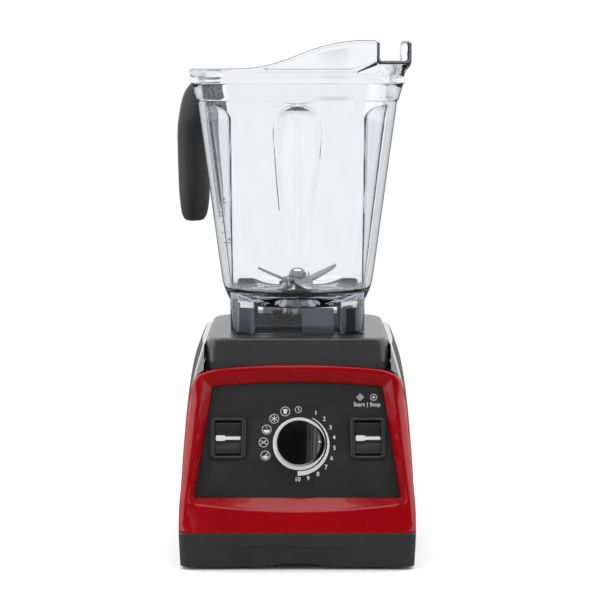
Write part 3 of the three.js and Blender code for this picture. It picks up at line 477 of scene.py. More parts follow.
def finish_material(name, dark, light, roughness, patch=25, grain=0.4, bump=0.1, bump_mm=0.02,
                    stretch=(1, 1, 1), **uniform):
    """A moulded, cast or turned surface: patches of drifting colour, uneven roughness and a fine grain.

    patch and grain are sizes in millimetres, and uniform holds the values of UNIFORM_SOCKETS.
    """
    material, graph, surface = bare_material(name)
    for key, value in uniform.items():
        surface[UNIFORM_SOCKETS[key]].default_value = value
    graph.wire(graph.two_tone(graph.noise(patch, 5), dark, light), surface["Base Color"])
    fine = graph.noise(grain, 3, stretch)
    graph.wire(graph.spread(fine, *roughness), surface["Roughness"])
    graph.wire(graph.relief(fine, bump, bump_mm), surface["Normal"])
    return material


def clear_material():
    """Clear moulded plastic with a cool tint that deepens with thickness, flow lines and soft ripples."""
    material, graph, surface = bare_material("clear_plastic")
    surface["Transmission Weight"].default_value = 1
    surface["IOR"].default_value = 1.5
    flow = graph.noise(14, 3, (1, 1, 3))
    graph.wire(graph.two_tone(flow, (0.965, 0.975, 0.99), (0.985, 0.99, 1.0)), surface["Base Color"])
    graph.wire(graph.spread(graph.noise(2.5, 2), 0.0, 0.02), surface["Roughness"])
    graph.wire(graph.relief(flow, 0.25, 0.12), surface["Normal"])
    tint = graph.nodes.new("ShaderNodeVolumeAbsorption")
    tint.inputs["Color"].default_value = (0.40, 0.44, 0.60, 1)
    tint.inputs["Density"].default_value = 7
    graph.wire(tint.outputs["Volume"], graph.find("OUTPUT_MATERIAL").inputs["Volume"])
    return material


charcoal = finish_material("charcoal_plastic", (0.022, 0.022, 0.0235), (0.031, 0.031, 0.033), (0.42, 0.58),
                           grain=0.5, bump=0.35, bump_mm=0.05)
charcoal_satin = finish_material("charcoal_satin", (0.025, 0.025, 0.0265), (0.035, 0.035, 0.037), (0.2, 0.3),
                                 grain=0.5, bump=0.2, bump_mm=0.03)
charcoal_polished = finish_material("charcoal_polished", (0.030, 0.030, 0.0315), (0.040, 0.040, 0.042),
                                    (0.26, 0.36), grain=0.9, bump=0.06, bump_mm=0.03, coat=0.12,
                                    coat_roughness=0.2)
gloss_charcoal = finish_material("gloss_charcoal", (0.030, 0.029, 0.031), (0.040, 0.039, 0.042), (0.12, 0.2),
                                 grain=1.2, bump=0.03, coat=1.0, coat_roughness=0.04)
red_gloss = finish_material("red_gloss", (0.26, 0.0003, 0.003), (0.31, 0.0005, 0.0045), (0.22, 0.28),
                            patch=40, grain=6, bump=0, coat=0.3, coat_roughness=0.05, specular=0.16)
panel_black = finish_material("panel_black", (0.015, 0.0155, 0.0165), (0.021, 0.0215, 0.023), (0.36, 0.5),
                              grain=0.45, bump=0.3, bump_mm=0.03, stretch=(3, 1, 1))
gloss_black = finish_material("gloss_black", (0.0015, 0.0015, 0.0015), (0.003, 0.003, 0.003), (0.05, 0.09),
                              grain=2, bump=0.02, coat=0.8, coat_roughness=0.02)
rubber = finish_material("rubber", (0.012, 0.012, 0.013), (0.020, 0.020, 0.021), (0.6, 0.8),
                         grain=0.6, bump=0.4, bump_mm=0.05)
soft_grip = finish_material("soft_grip", (0.030, 0.030, 0.032), (0.040, 0.040, 0.042), (0.56, 0.7),
                            grain=0.35, bump=0.35, bump_mm=0.05, sheen=0.04, specular=0.32)
# painted highlight: light satin silver for the lit crescent of the dial's chrome ring
silver_ring_highlight = finish_material("silver_ring_highlight", (0.9, 0.9, 0.91), (0.96, 0.96, 0.97), (0.34, 0.46),
                               grain=0.5, metallic=0.15)
silver_paint = finish_material("silver_paint", (0.80, 0.80, 0.81), (0.88, 0.88, 0.89), (0.3, 0.42),
                               grain=0.5, metallic=0.2)
steel = finish_material("steel", (0.42, 0.42, 0.43), (0.56, 0.56, 0.57), (0.2, 0.36),
                        grain=0.3, bump=0.25, stretch=(8, 1, 1), metallic=1)
aluminium = finish_material("aluminium", (0.5, 0.51, 0.52), (0.66, 0.67, 0.68), (0.32, 0.5),
                            grain=0.6, bump=0.3, bump_mm=0.05, metallic=1)
copper = finish_material("copper_winding", (0.36, 0.13, 0.05), (0.5, 0.2, 0.08), (0.25, 0.4),
                         grain=0.5, bump=0.6, bump_mm=0.2, stretch=(1, 1, 10), metallic=1)
carbon = finish_material("carbon", (0.01, 0.01, 0.01), (0.02, 0.02, 0.02), (0.6, 0.8))
board_green = finish_material("circuit_board", (0.004, 0.05, 0.016), (0.008, 0.075, 0.025), (0.3, 0.45),
                              patch=6)
nylon = finish_material("nylon", (0.5, 0.47, 0.4), (0.6, 0.57, 0.5), (0.45, 0.6))
print_white = finish_material("print_white", (0.72, 0.72, 0.72), (0.86, 0.86, 0.86), (0.5, 0.62),
                              patch=3, grain=0.2)
print_grey = finish_material("print_grey", (0.16, 0.17, 0.19), (0.25, 0.26, 0.28), (0.5, 0.62),
                             patch=3, grain=0.2)
# painted reflection: light blue-grey for the lit facets of the jug's skirt
skirt_reflection_paint = finish_material("skirt_painted_reflection", (0.34, 0.38, 0.46), (0.42, 0.46, 0.54), (0.3, 0.5),
                          patch=12, grain=1.5, bump=0.2, bump_mm=0.05, transmission=0.6)
# painted shade: dark navy for the dark look of the clear plastic along the spout's creases and edge
spout_shade_navy = finish_material("spout_shade_navy", (0.012, 0.014, 0.035), (0.024, 0.028, 0.06), (0.1, 0.2),
                            patch=8, grain=1.5, bump=0.05, coat=0.5)
# painted shade: dark grey for the dark look of the jug's clear rim
rim_shade_grey = finish_material("rim_shade_grey", (0.07, 0.075, 0.10), (0.11, 0.12, 0.15), (0.15, 0.3),
                            patch=8, grain=1.5, bump=0.05, transmission=0.3)
clear = clear_material()


# ---------------------------------------------------------------- base shells


def front_edge(z):
    """Y of the front at height z."""
    return FRONT_Y + (z - TRAY_TOP) * LEAN_TAN if z > TRAY_TOP else FRONT_Y + (TRAY_TOP - z) * TOE_IN


def base_outline(z, inset=0.0):
    """Outline of the base at height z, anticlockwise from the middle of the front."""
    front_half = curve_value(FRONT_ROWS, z) - inset
    middle_half = curve_value(MIDDLE_ROWS, z) - inset
    front_y, back_y = front_edge(z) + inset, curve_value(BACK_ROWS, z) - inset
    front_radius, rear_radius = curve_value(CORNER_ROWS, z) - inset, REAR_CORNER - inset
    straight = front_half - front_radius
    half = [(straight * i / 14, front_y) for i in range(14)]
    half += arc(straight, front_y + front_radius, front_radius, -90, 0, 10)
    side_start = front_y + front_radius
    for i in range(1, 13):
        share = i / 12
        half.append((front_half + (middle_half - front_half) * math.sin(share * math.pi / 2),
                     side_start * (1 - share)))
    rear_start = back_y - rear_radius
    half += [(middle_half, rear_start * i / 6) for i in range(1, 6)]
    half += arc(middle_half - rear_radius, rear_start, rear_radius, 0, 90, 14)
    half += [((middle_half - rear_radius) * (1 - i / 6), back_y) for i in range(1, 7)]
    return mirrored(half)


def base_rings(levels, inset=0.0):
    return [at_height(base_outline(z, inset), z) for z in levels]


def build_tray():
    edge = 0.7
    rings = []
    for i in range(5):
        angle = math.pi / 2 * i / 4
        inset, z = edge * (1 - math.sin(angle)), edge * (1 - math.cos(angle))
        rings.append(at_height(base_outline(0, inset), z))
    rings += base_rings((6, 10, 14, 16.4, 17.0, 22, 27.6)) + base_rings([TRAY_TOP], 0.5)
    # the middle of the front is set back a little below the step line
    step_half, step_height = 64, 16.8
    for ring in rings:
        for i, (x, y, z) in enumerate(ring):
            if y < FRONT_Y + 8 and z < step_height:
                ring[i] = (x, y + 0.7 * smooth((step_half - abs(x)) / 10), z)
    cavity = loft(base_rings((SHELL, 17, TRAY_TOP + 1), SHELL))
    slots = [block((side * 34 - 14, y - 2, -1), (side * 34 + 14, y + 2, 5))
             for side in (-1, 1) for y in (-20, -12, -4, 4, 12, 20)]
    arch = [(-27, -1), (27, -1), (25, 0.4), (19, 2.0), (12, 2.9), (0, 3.2), (-12, 2.9), (-19, 2.0),
            (-25, 0.4)]
    notch = placed(plate(arch, -8, 8), at(0, FRONT_Y, 0) @ turn(90, "X"))
    centres = [centre_mm(f"tray_screw_{i}") for i in range(1, 5)]
    screws = [placed(turned([(4.6, -1), (4.6, 3.2)], 24), at(centre.x, centre.y, 0)) for centre in centres]
    piece("base_tray_shell", loft(rings), charcoal, "base", ["base_tray"],
          cuts=[cavity, *slots, notch, *screws], sharp=32)


CAP_FLARE = 1.7  # how far the pedestal's walls stand out at their foot
CAP_FRONT_CORNER, CAP_BACK_CORNER = 12, 30
APRON_DROP = 4.5  # the front of the pedestal reaches down behind the fascia's crown
APRON_BACK = -74
DRIVE_BORE = 20  # radius of the hole through the pedestal


def cap_outline(z, grow=0.0):
    """Outline of the pedestal at height z; its walls flare a little towards the bottom."""
    share = max(CAP_TOP - z, 0) / (CAP_TOP - CAP_BOTTOM)
    flare = CAP_FLARE * share ** 1.6
    half_width = (CAP_HIGH.x - CAP_LOW.x) / 2 - CAP_FLARE + flare + grow
    front_y = CAP_LOW.y + CAP_FLARE - flare - grow
    back_y = CAP_HIGH.y + grow
    front, back = CAP_FRONT_CORNER, CAP_BACK_CORNER
    half = [((half_width - front) * i / 8, front_y) for i in range(8)]
    half += arc(half_width - front, front_y + front, front, -90, 0, 10)
    half += arc(half_width - back, back_y - back, back, 0, 90, 14)
    half += [((half_width - back) * (1 - i / 4), back_y) for i in range(1, 5)]
    return mirrored(half)


def build_pedestal():
    edge = 3.0
    rings = [at_height(cap_outline(z), z) for z in (CAP_BOTTOM, 165, 168, 172, 176, CAP_TOP - edge)]
    rings += [at_height(cap_outline(CAP_TOP, -inset), CAP_TOP - drop) for inset, drop in eased(edge, 6)]
    rings.append(at_height(cap_outline(CAP_TOP, -edge - 5), CAP_TOP - 0.25))
    inner = [at_height(cap_outline(CAP_BOTTOM, -SHELL), CAP_BOTTOM - 1),
             at_height(cap_outline(CAP_TOP, -SHELL - 2), CAP_TOP - SHELL)]
    edge_line = cap_outline(CAP_BOTTOM)
    right = [p for p in edge_line[:len(edge_line) // 2] if p[1] < APRON_BACK]
    left = [(-x, y) for x, y in reversed(right[1:])]
    apron = plate(left + right, CAP_BOTTOM - APRON_DROP, CAP_BOTTOM + 2)
    bore = turned([(DRIVE_BORE, 150), (DRIVE_BORE, 200)], 48)
    piece("pedestal", loft(rings), charcoal_polished, "base", ["pedestal_cap"],
          joins=[apron], cuts=[loft(inner), bore])


def build_pad():
    bottom, top = PAD_LOW.z, PAD_HIGH.z
    half = PAD_HIGH.x
    plate_shape = plate(rounded_rectangle(half, half, 8, 8), bottom, bottom + 3)
    post, rib = half - 8, half - 4
    # the four posts stand in the jug's skirt
    posts = [plate(rounded_rectangle(7, 7, 3, 5, sx * post, sy * post), bottom + 2, top)
             for sx in (-1, 1) for sy in (-1, 1)]
    ribs = [plate(rounded_rectangle(hx, hy, 1.2, 3, cx, cy), bottom + 2, bottom + 7)
            for hx, hy, cx, cy in ((22, 2, 0, -rib), (22, 2, 0, rib), (2, 22, -rib, 0), (2, 22, rib, 0))]
    collar = ring_turned([(20.5, bottom + 2), (26, bottom + 2), (25, bottom + 6), (20.5, bottom + 6)], 48)
    bore = turned([(DRIVE_BORE, 150), (DRIVE_BORE, 220)], 48)
    piece("centring_pad_rubber", plate_shape, rubber, "base", ["centring_pad"],
          joins=[*posts, *ribs, collar], cuts=[bore], round_edges=0.7, segments=3)


CROWN_HALF, CROWN_FOOT, CROWN_RISE = 73, 136.7, 4.9  # the fascia's arched top edge


def side_half(v):
    """Half-width of the fascia's outer edge, v up the slope."""
    return curve_value(FRONT_ROWS, TRAY_TOP + v * FRONT_UP.z - 3)


def fascia_outline(grow=0.0):
    """Right half of the fascia's outer edge: up the side, round the top corner and along the crown."""
    side = [(side_half(v), v) for v in (mix(0.3, 112, i / 24) for i in range(25))]
    start, corner, end = (90.6, 117), (88.5, 134.6), (CROWN_HALF, CROWN_FOOT)
    shares = [i / 12 for i in range(13)]
    bend = [tuple((1 - t) ** 2 * a + 2 * t * (1 - t) * b + t * t * c for a, b, c in zip(start, corner, end))
            for t in shares]
    crown = [((1 - t) * CROWN_HALF, CROWN_FOOT + CROWN_RISE * (1 - (1 - t) ** 2)) for t in shares[1:]]
    return [(u * (1 + grow / 80), v + grow) for u, v in side + bend + crown]


def panel_half(bottom, top, bottom_half, top_half, crown, sag, radius, steps):
    """Right half of a trapezium with rounded corners, as bottom, corner, side, corner and top stretches."""
    bottom_steps, side_steps, top_steps = steps
    half = []
    for i in range(bottom_steps):
        share = i / bottom_steps
        half.append((share * (bottom_half - radius), bottom - sag * (1 - share ** 2)))
    half += arc(bottom_half - radius, bottom + radius, radius, -90, -4, 5)
    top_corner = arc(top_half - radius, top - radius, radius, 4, 88, 5)
    half += [mix_points(half[-1], top_corner[0], i / side_steps) for i in range(1, side_steps)]
    half += top_corner
    for i in range(1, top_steps + 1):
        share = 1 - i / top_steps
        half.append((share * (top_half - radius), top + crown * (1 - share ** 2)))
    return half


PANEL_STEPS = (14, 24, 14)
TOP_ROLL = 4.5
BOTTOM_ROLL = 0.9
FASCIA_FOOT = 0.31  # the fascia's face starts this far up the slope
FASCIA_BACK_FOOT = 4.75  # and its back this far, clear of the tray


def roll(depth, radius):
    """How far a rounded edge of that radius has dropped, depth in from the edge."""
    inside = max(radius - max(depth, 0), 0)
    return radius - math.sqrt(radius * radius - inside * inside)


def fascia_drop(index, point, start):
    """Drop of the fascia's rounded face at a point on the line inwards from outline point number index."""
    u, v = point
    from_side = roll(side_half(v) - u, curve_value(CORNER_ROWS, TRAY_TOP + v * FRONT_UP.z))
    from_top = roll(math.dist(point, start), TOP_ROLL)
    drop = mix(from_side, from_top, smooth((start[1] - 112) / 20))
    if index < PANEL_STEPS[0] + 2:
        drop += roll(v - FASCIA_FOOT, BOTTOM_ROLL)
    return drop


def build_fascia():
    bottom_steps = PANEL_STEPS[0]
    mouth = panel_half(25, 130.2, 90, 78.2, 4.8, 7, 2.4, PANEL_STEPS)
    floor = panel_half(30.2, 123.6, 85.6, 71.4, 3.6, 0, 2, PANEL_STEPS)
    ledge = panel_half(35, 118, 78, 66, 3.4, 0, 3, PANEL_STEPS)
    # the outline starts at the bottom middle, runs to the corner, then up the side
    outer_side = fascia_outline()
    bottom = [(outer_side[0][0] * i / bottom_steps, FASCIA_FOOT) for i in range(bottom_steps)]
    outer = resampled(bottom + outer_side, len(mouth), bottom_steps)
    rings = [[(u, FASCIA_BACK_FOOT if i <= bottom_steps else max(v, FASCIA_BACK_FOOT), -FASCIA_DEPTH)
              for i, (u, v) in enumerate(outer)]]
    steps, crest_softness = 16, 0.35
    for k in range(steps + 1):
        share = (k / steps) ** 1.8
        row = []
        for i, (start, end) in enumerate(zip(outer, mouth)):
            u, v = mix_points(start, end, share)
            row.append((u, v, -fascia_drop(i, (u, v), start) - (crest_softness if k == steps else 0)))
        rings.append(row)
    crest, panel_edge = rings[-1], at_height(floor, -RECESS)
    for share, sink in ((0.07, 0.2), (0.25, 0), (0.5, 0), (0.75, 0), (0.93, 0), (1, 0)):
        slope = [mix_points(a, b, share) for a, b in zip(crest, panel_edge)]
        rings.append([(u, v, w - sink) for u, v, w in slope])
    for outline, w in ((floor, -RECESS - 3.2), (ledge, -RECESS - 3.2), (ledge, -FASCIA_DEPTH)):
        rings.append(at_height(outline, w))
    shape = placed(closed_loft([mirrored(ring) for ring in rings]), FRONT)
    piece("front_fascia_red", shape, red_gloss, "base", ["front_fascia"], sharp=50)


def resampled(points, count, keep):
    """The first keep points as they are, and the rest of the line spaced evenly to reach count points."""
    head, tail = points[:keep], points[keep:]
    lengths = [0.0]
    for a, b in zip(tail, tail[1:]):
        lengths.append(lengths[-1] + math.dist(a, b))
    rest = count - keep
    for i in range(rest):
        goal = lengths[-1] * i / (rest - 1)
        k = next(j for j in range(len(lengths) - 1) if lengths[j + 1] >= goal - 1e-9)
        share = (goal - lengths[k]) / max(lengths[k + 1] - lengths[k], 1e-9)
        head.append(mix_points(tail[k], tail[k + 1], share))
    return head


def build_housing():
    rings = base_rings([TRAY_TOP + 0.3], 0.4)
    rings += base_rings((32, *range(36, 140, 6), *range(140, 174, 3)))
    for inset, drop in eased(1.6, 5):
        rings += base_rings([HOUSING_TOP - drop], inset)
    cavity = loft(base_rings((TRAY_TOP - 1, 60, 100, 140, CAP_BOTTOM - 3.6), SHELL))
    pocket = loft([at_height(cap_outline(z, 0.4), z + 1e-3) for z in (CAP_BOTTOM - 0.3, CAP_TOP + 20)])
    outline = mirrored([(0, -20), (110, -20), *fascia_outline(0.3)])
    opening = placed(plate(outline, -FASCIA_DEPTH - 0.3, 60), FRONT)
    above = placed(block((-72, 136, -FASCIA_DEPTH - 0.3), (72, 200, 60)), FRONT)
    # room for the pedestal's apron
    step_half = CAP_HIGH.x + 0.4
    step = block((-step_half, FRONT_Y, CAP_BOTTOM - APRON_DROP - 0.3), (step_half, APRON_BACK + 2, 200))
    clearance = block((-step_half, APRON_BACK + 1, CAP_BOTTOM - 0.3), (step_half, APRON_BACK + 4, 200))
    vents = [placed(plate(rounded_rectangle(36, 2, 1.9, 5), -15, 15), at(0, 105, 94 + 8 * i) @ turn(90, "X"))
             for i in range(6)]
    switch_low, switch_high = box_mm("power_switch_body")
    switch = block((switch_low.x + 2.5, 95, switch_low.z + 2.5),
                   (switch_high.x - 2.5, 120, switch_high.z - 2.5))
    centre = centre_mm("cord_gland")
    gland = placed(turned([(8, -20), (8, 20)], 32), at(centre.x, 105, centre.z) @ turn(90, "X"))
    bore = turned([(24, 140), (24, 190)], 48)
    piece("rear_housing_shell", loft(rings), gloss_charcoal, "base", ["rear_housing"],
          cuts=[cavity, pocket, step, clearance, opening, above, bore, *vents, switch, gland], sharp=30)


def build_feet():
    profile = [(10, -2.5), (10.6, -2.35), (11, -1.8), (11, -0.1)]
    for i in range(1, 5):
        centre = centre_mm(f"foot_{i}")
        place = at(centre.x, centre.y, 0)
        recess = placed(turned([(6, -3), (5.4, -1.6)], 32), place)
        piece(f"foot_pad_{i}", placed(turned(profile, 40), place), rubber, "base", [f"foot_{i}"],
              cuts=[recess], round_edges=0.2)


# ---------------------------------------------------------------- controls on the leaning front


def on_panel(u, v, w=-RECESS):
    return FRONT @ at(u, v, w)


def build_panel():
    outline = mirrored(panel_half(30.5, 123.3, 85.3, 71.1, 3.6, 0, 1.8, PANEL_STEPS))
    body = plate(outline, -RECESS - 3, -RECESS)
    windows = [placed(plate(rounded_rectangle(12.4, 15.4, 0.5, 2), -20, 0), at(u, SWITCH_V, 0))
               for u in (PULSE_U, START_U)]
    bore = placed(turned([(4.5, -20), (4.5, 0)], 24), at(DIAL_U, DIAL_V, 0))
    shapes = [placed(shape, FRONT) for shape in (body, *windows, bore)]
    piece("panel_plate", shapes[0], panel_black, "base", ["control_panel"], cuts=shapes[1:],
          round_edges=0.35)


def build_paddle_switch(name, u, body):
    outer, inner = (14.75, 17.25, 3.6), (11.2, 14.8, 1.4)
    rows = [(*(size + grow for size in sizes), w)
            for sizes, grow, w in ((outer, 0, 0.2), (outer, 0, 1.2), (outer, -0.35, 1.9), (outer, -0.9, 2.2),
                                   (inner, 0.7, 2.2), (inner, 0.2, 1.9), (inner, 0, 1.2), (inner, 0, 0.2))]
    piece(f"{name}_frame", placed(closed_loft(rounded_rings(rows)), on_panel(u, SWITCH_V)), charcoal_satin,
          "base", [f"{name}_bezel"])
    # side profile of the rocking paddle: v up, w out of the panel, dished towards its middle
    side = [(-13.5, -3), (13.5, -3), (13.5, 3.6), (13.25, 5.6), (12.8, 6.2), (12, 6.2), (2.6, 4.75),
            (1.9, 4.2), (-1.9, 4.2), (-2.6, 4.75), (-12, 6.2), (-12.8, 6.2), (-13.25, 5.6), (-13.5, 3.6)]
    half = 10.8
    place = on_panel(u, SWITCH_V, -PADDLE_PIVOT)
    piece(f"{name}_rocker", placed(plate(side, -half, half), place @ SIDE_ON), panel_black, body,
          [f"{name}_paddle"], round_edges=0.4, segments=3)
    bar = plate(rounded_rectangle(10.2, 1.3, 0.5, 4), 4.3, 6.9)
    grip_end = plate(rounded_rectangle(3.9, 2.2, 0.8, 4, -6.2, 0), 4.3, 7.4)
    piece(f"{name}_silver_bar", placed(bar, place), silver_paint, body, [f"{name}_bar"],
          joins=[placed(grip_end, place)], round_edges=0.25, segments=3)


def build_dial():
    place = on_panel(DIAL_U, DIAL_V)
    # the knob's side, its rounded edge and its dished face
    profile = [(4, 1.0), (18.7, 1.0), (18.7, 2.5), (18.55, 10.6), *arc(18, 10.9, 0.5, 0, 90, 3)]
    profile += [(r, 10.5 + 0.9 * (r / 18) ** 2) for r in (17.8, 16.5, 15, 13, 11, 9, 7, 5, 3, 1.5, 0)]
    piece("dial_knob_black", placed(turned(profile, 96), place), gloss_black, "dial",
          ["dial_knob"])
    # painted highlight: the chrome ring is drawn as a light crescent where it catches the light, widest on
    # the left and drawn out to nothing under the pointer, where the ring shows dark
    steps, outer = 96, 21.9
    rings = []
    for inner_share, height in ((0, 0.6), (0, 3.0), (0.08, 3.35), (0.5, 3.5), (0.92, 3.35), (1, 3.0),
                                (1, 0.6)):
        ring = []
        for i in range(steps):
            angle = TAU * i / steps
            from_pointer = math.degrees(min(angle, TAU - angle))
            radius = outer - (0.3 + 3.1 * smooth(from_pointer / 85)) * inner_share
            sink = 0.25 + 0.25 * math.cos(angle) if height > 1 else 0
            ring.append((radius * math.cos(angle), radius * math.sin(angle), height - sink))
        rings.append(ring)
    piece("dial_ring_highlight", placed(closed_loft(rings), place), silver_ring_highlight, "dial",
          ["dial_ring"])
    dot = turned([(0.75, 10.6), (0.75, 11.15), (0.6, 11.25), (0, 11.25)], 24)
    piece("dial_pointer", placed(dot, place @ at(17.1, 0.6, 0.25)), print_white, "dial")
    skirt = ring_turned([(19.0, 0.4), (20.3, 0.4), (20.3, 1.6), (19.0, 1.6)], 96)
    piece("dial_well", placed(skirt, place), gloss_black, "dial")


PRINT_LOW, PRINT_HIGH = -RECESS - 0.05, -RECESS + 0.12


def printed(name, shapes):
    """Thin raised print on the panel."""
    piece(name, placed(together(*shapes), FRONT), print_white, "base")


def stroke(points, width):
    """A flat printed line through points."""
    shapes = []
    for (x0, y0), (x1, y1) in zip(points, points[1:]):
        length = math.dist((x0, y0), (x1, y1))
        dx, dy = (x1 - x0) / length, (y1 - y0) / length
        nx, ny = -dy * width / 2, dx * width / 2
        ex, ey = dx * width * 0.4, dy * width * 0.4
        quad = [(x0 - ex - nx, y0 - ey - ny), (x1 + ex - nx, y1 + ey - ny), (x1 + ex + nx, y1 + ey + ny),
                (x0 - ex + nx, y0 - ey + ny)]
        shapes.append(plate(quad, PRINT_LOW, PRINT_HIGH))
    return together(*shapes)


def ring_print(radius, width, cx=0.0, cy=0.0, steps=40):
    outer, inner = circle(radius, steps, cx, cy), circle(radius - width, steps, cx, cy)
    rows = ((outer, PRINT_LOW), (outer, PRINT_HIGH), (inner, PRINT_HIGH), (inner, PRINT_LOW))
    return closed_loft([at_height(outline, z) for outline, z in rows])


def disc_print(radius, cx=0.0, cy=0.0, start=0, end=360):
    outline = arc(cx, cy, radius, start, end, 24)
    return plate(outline if end - start < 360 else outline[:-1], PRINT_LOW, PRINT_HIGH)


def lettering(name, text, size, u, v, weight=0.1):
    """Plain characters, made into a thin mesh that stands on the panel."""
    curve = bpy.data.curves.new(name, "FONT")
    curve.body = text
    curve.size = size * MM
    curve.align_x = "CENTER"
    curve.align_y = "CENTER"
    curve.extrude = 0.06 * MM
    curve.offset = weight * MM
    curve.resolution_u = 4
    source = bpy.data.objects.new(name, curve)
    bpy.context.scene.collection.objects.link(source)
    bpy.context.view_layer.update()
    mesh = bpy.data.meshes.new_from_object(source.evaluated_get(bpy.context.evaluated_depsgraph_get()))
    bpy.data.objects.remove(source)
    bpy.data.curves.remove(curve)
    place = FRONT @ at(u, v, PRINT_HIGH - 0.06)
    mesh.transform(Matrix.Scale(MM, 4) @ place @ Matrix.Scale(1 / MM, 4))
    work = bmesh.new()
    work.from_mesh(mesh)
    bmesh.ops.remove_doubles(work, verts=work.verts, dist=1e-6)
    work.to_mesh(mesh)
    work.free()
    mesh.materials.clear()
    mesh.materials.append(print_white)
    obj = bpy.data.objects.new(name, mesh)
    bpy.context.scene.collection.objects.link(obj)
    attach(obj, "base")


def around_dial(degrees, radius):
    angle = math.radians(degrees)
    return DIAL_U + radius * math.cos(angle), DIAL_V + radius * math.sin(angle)


def build_dial_scale():
    first, last, steps = 63, -93, 60
    outer, inner = [], []
    for i in range(steps + 1):
        share = i / steps
        degrees = mix(first, last, share)
        outer.append(around_dial(degrees, 24.6 + 1.9 * share ** 1.2))
        inner.append(around_dial(degrees, 23.9 - 1.3 * share ** 1.2))
    vertices = [(*p, z) for z in (PRINT_LOW, PRINT_HIGH) for p in outer + inner[::-1]]
    n = len(vertices) // 2
    faces = [(i, (i + 1) % n, n + (i + 1) % n, n + i) for i in range(n)]
    for start, flip in ((0, True), (n, False)):
        for i in range(steps):
            quad = (start + i, start + i + 1, start + n - 2 - i, start + n - 1 - i)
            faces.append(tuple(reversed(quad)) if flip else quad)
    printed("speed_scale", [(vertices, faces)])
    for number in range(1, 11):
        u, v = around_dial(mix(62, -92.5, (number - 1) / 9), 29.6)
        lettering(f"speed_number_{number}", str(number), 5.0, u, v, 0.06)


def pictogram(index, u, v):
    """The plain drawing inside program mark number index, centred on u, v."""
    if index == 0:  # tumbler
        return [plate([(u - 1.2, v - 2.0), (u + 1.2, v - 2.0), (u + 1.9, v + 2.0), (u - 1.9, v + 2.0)],
                      PRINT_LOW, PRINT_HIGH)]
    if index == 1:  # frost star
        arms = arc(0, 0, 2.7, 30, 150, 2)
        return [stroke([(u - dx, v - dy), (u + dx, v + dy)], 0.55) for dx, dy in arms]
    if index == 2:  # filled bowl with a dot of steam
        return [disc_print(2.7, u, v - 0.2, 180, 360), disc_print(0.5, u, v + 1.7)]
    if index == 3:  # crossing strokes
        return [stroke([(u - 2.4, v - 1.6), (u + 2.2, v + 1.8)], 0.6),
                stroke([(u - 2.2, v + 1.5), (u + 0.2, v - 0.2), (u + 2.4, v - 1.2)], 0.6)]
    # bowl with a slanted spoon
    return [disc_print(2.5, u, v - 0.3, 180, 360), stroke([(u - 0.4, v - 0.2), (u + 2.1, v + 2.2)], 0.6)]


def build_program_marks():
    """Five plain pictograms in rings, and a small clock face, on the arc to the left of the dial."""
    for index, degrees in enumerate((113, 134.5, 156, 177.5, 199)):
        u, v = around_dial(degrees, 29.7)
        printed(f"program_mark_{index + 1}", [ring_print(4.0, 0.42, u, v), *pictogram(index, u, v)])
    u, v = around_dial(91.5, 28.8)
    hands = stroke([(u, v + 1.5), (u, v - 0.1), (u + 1.1, v - 0.9)], 0.5)
    printed("program_mark_6", [ring_print(2.8, 0.4, u, v), hands])


def build_start_stop_label():
    v, start_u, stop_u = 114.2, START_U - 6.4, START_U + 4.9
    printed("start_mark", [ring_print(3, 0.7, start_u, v, steps=4), disc_print(0.8, start_u, v)])
    printed("stop_mark", [ring_print(2.8, 0.4, stop_u, v), disc_print(1.0, stop_u, v)])
    lettering("start_stop_label", "Start | Stop", 4.9, START_U - 0.6, 108, 0.0)


# ---------------------------------------------------------------- rear face


def build_rear_face():
    centre, back_y = centre_mm("power_switch_body"), box_mm("power_switch_body")[1].y
    # local Z points backwards, local Y points down
    place = at(centre.x, back_y, centre.z) @ turn(-90, "X")
    rows = [(7.6, 11.6, 0.5, -18.5), (7.6, 11.6, 0.5, -2), (10.5, 14.5, 2.2, -2), (10.5, 14.5, 2.2, -0.8),
            (9.9, 13.9, 1.8, -0.1), (6.3, 10.3, 0.8, -0.1), (5.6, 9.6, 0.5, -1.2), (5.6, 9.6, 0.5, -9)]
    piece("power_switch_frame", placed(loft(rounded_rings(rows)), place), charcoal_satin, "base",
          ["power_switch_body"])
    side = [(-8.2, -1.6), (8.2, -1.6), (8.55, 3.4), (8.2, 3.8), (1.2, 2.7), (0, 2.55), (-1.2, 2.7),
            (-8.2, 3.8), (-8.55, 3.4)]
    place = at(*(Vector(joint("power_press")["pos_m"]) / MM)) @ turn(-90, "X") @ turn(-9, "X")
    piece("power_rocker_black", placed(plate(side, -5.1, 5.1), place @ SIDE_ON), gloss_black,
          "power_rocker_body", ["power_rocker"], round_edges=0.35, segments=3)
    centre, back_y = centre_mm("cord_gland"), box_mm("cord_gland")[1].y
    profile = [(4.1, -8), (7.6, -8), (7.6, 0.4), (9.8, 0.4), (10, 0.9), (9.9, 1.8), (9.2, 2.6), (8.3, 3.1),
               (5.2, 3.3), (4.4, 3.0), (4.1, 2.2)]
    place = at(centre.x, back_y - 3.4, centre.z) @ turn(-90, "X")
    piece("cord_gland_rubber", placed(ring_turned(profile, 48), place), rubber, "base",
          ["cord_gland"])


# ---------------------------------------------------------------- jug


def flute_profile(share):
    """Depth of a flute across its width, from 0 at its edges to 1 at its softly rounded ridge."""
    soft = 0.16
    if abs(share) >= 1:
        return 0.0
    edge = math.hypot(1, soft)
    return (edge - math.hypot(share, soft)) / (edge - soft)


def flute_depth(z, half_width):
    if z <= FLUTE_BOTTOM or z >= FLUTE_TOP:
        return 0.0
    start = smooth((z - FLUTE_BOTTOM) / 14)
    end = math.sqrt(1 - max((z - FLUTE_SHOULDER) / (FLUTE_TOP - FLUTE_SHOULDER), 0) ** 2)
    return max(half_width - FLUTE_RIDGE, 2.0) * start * end


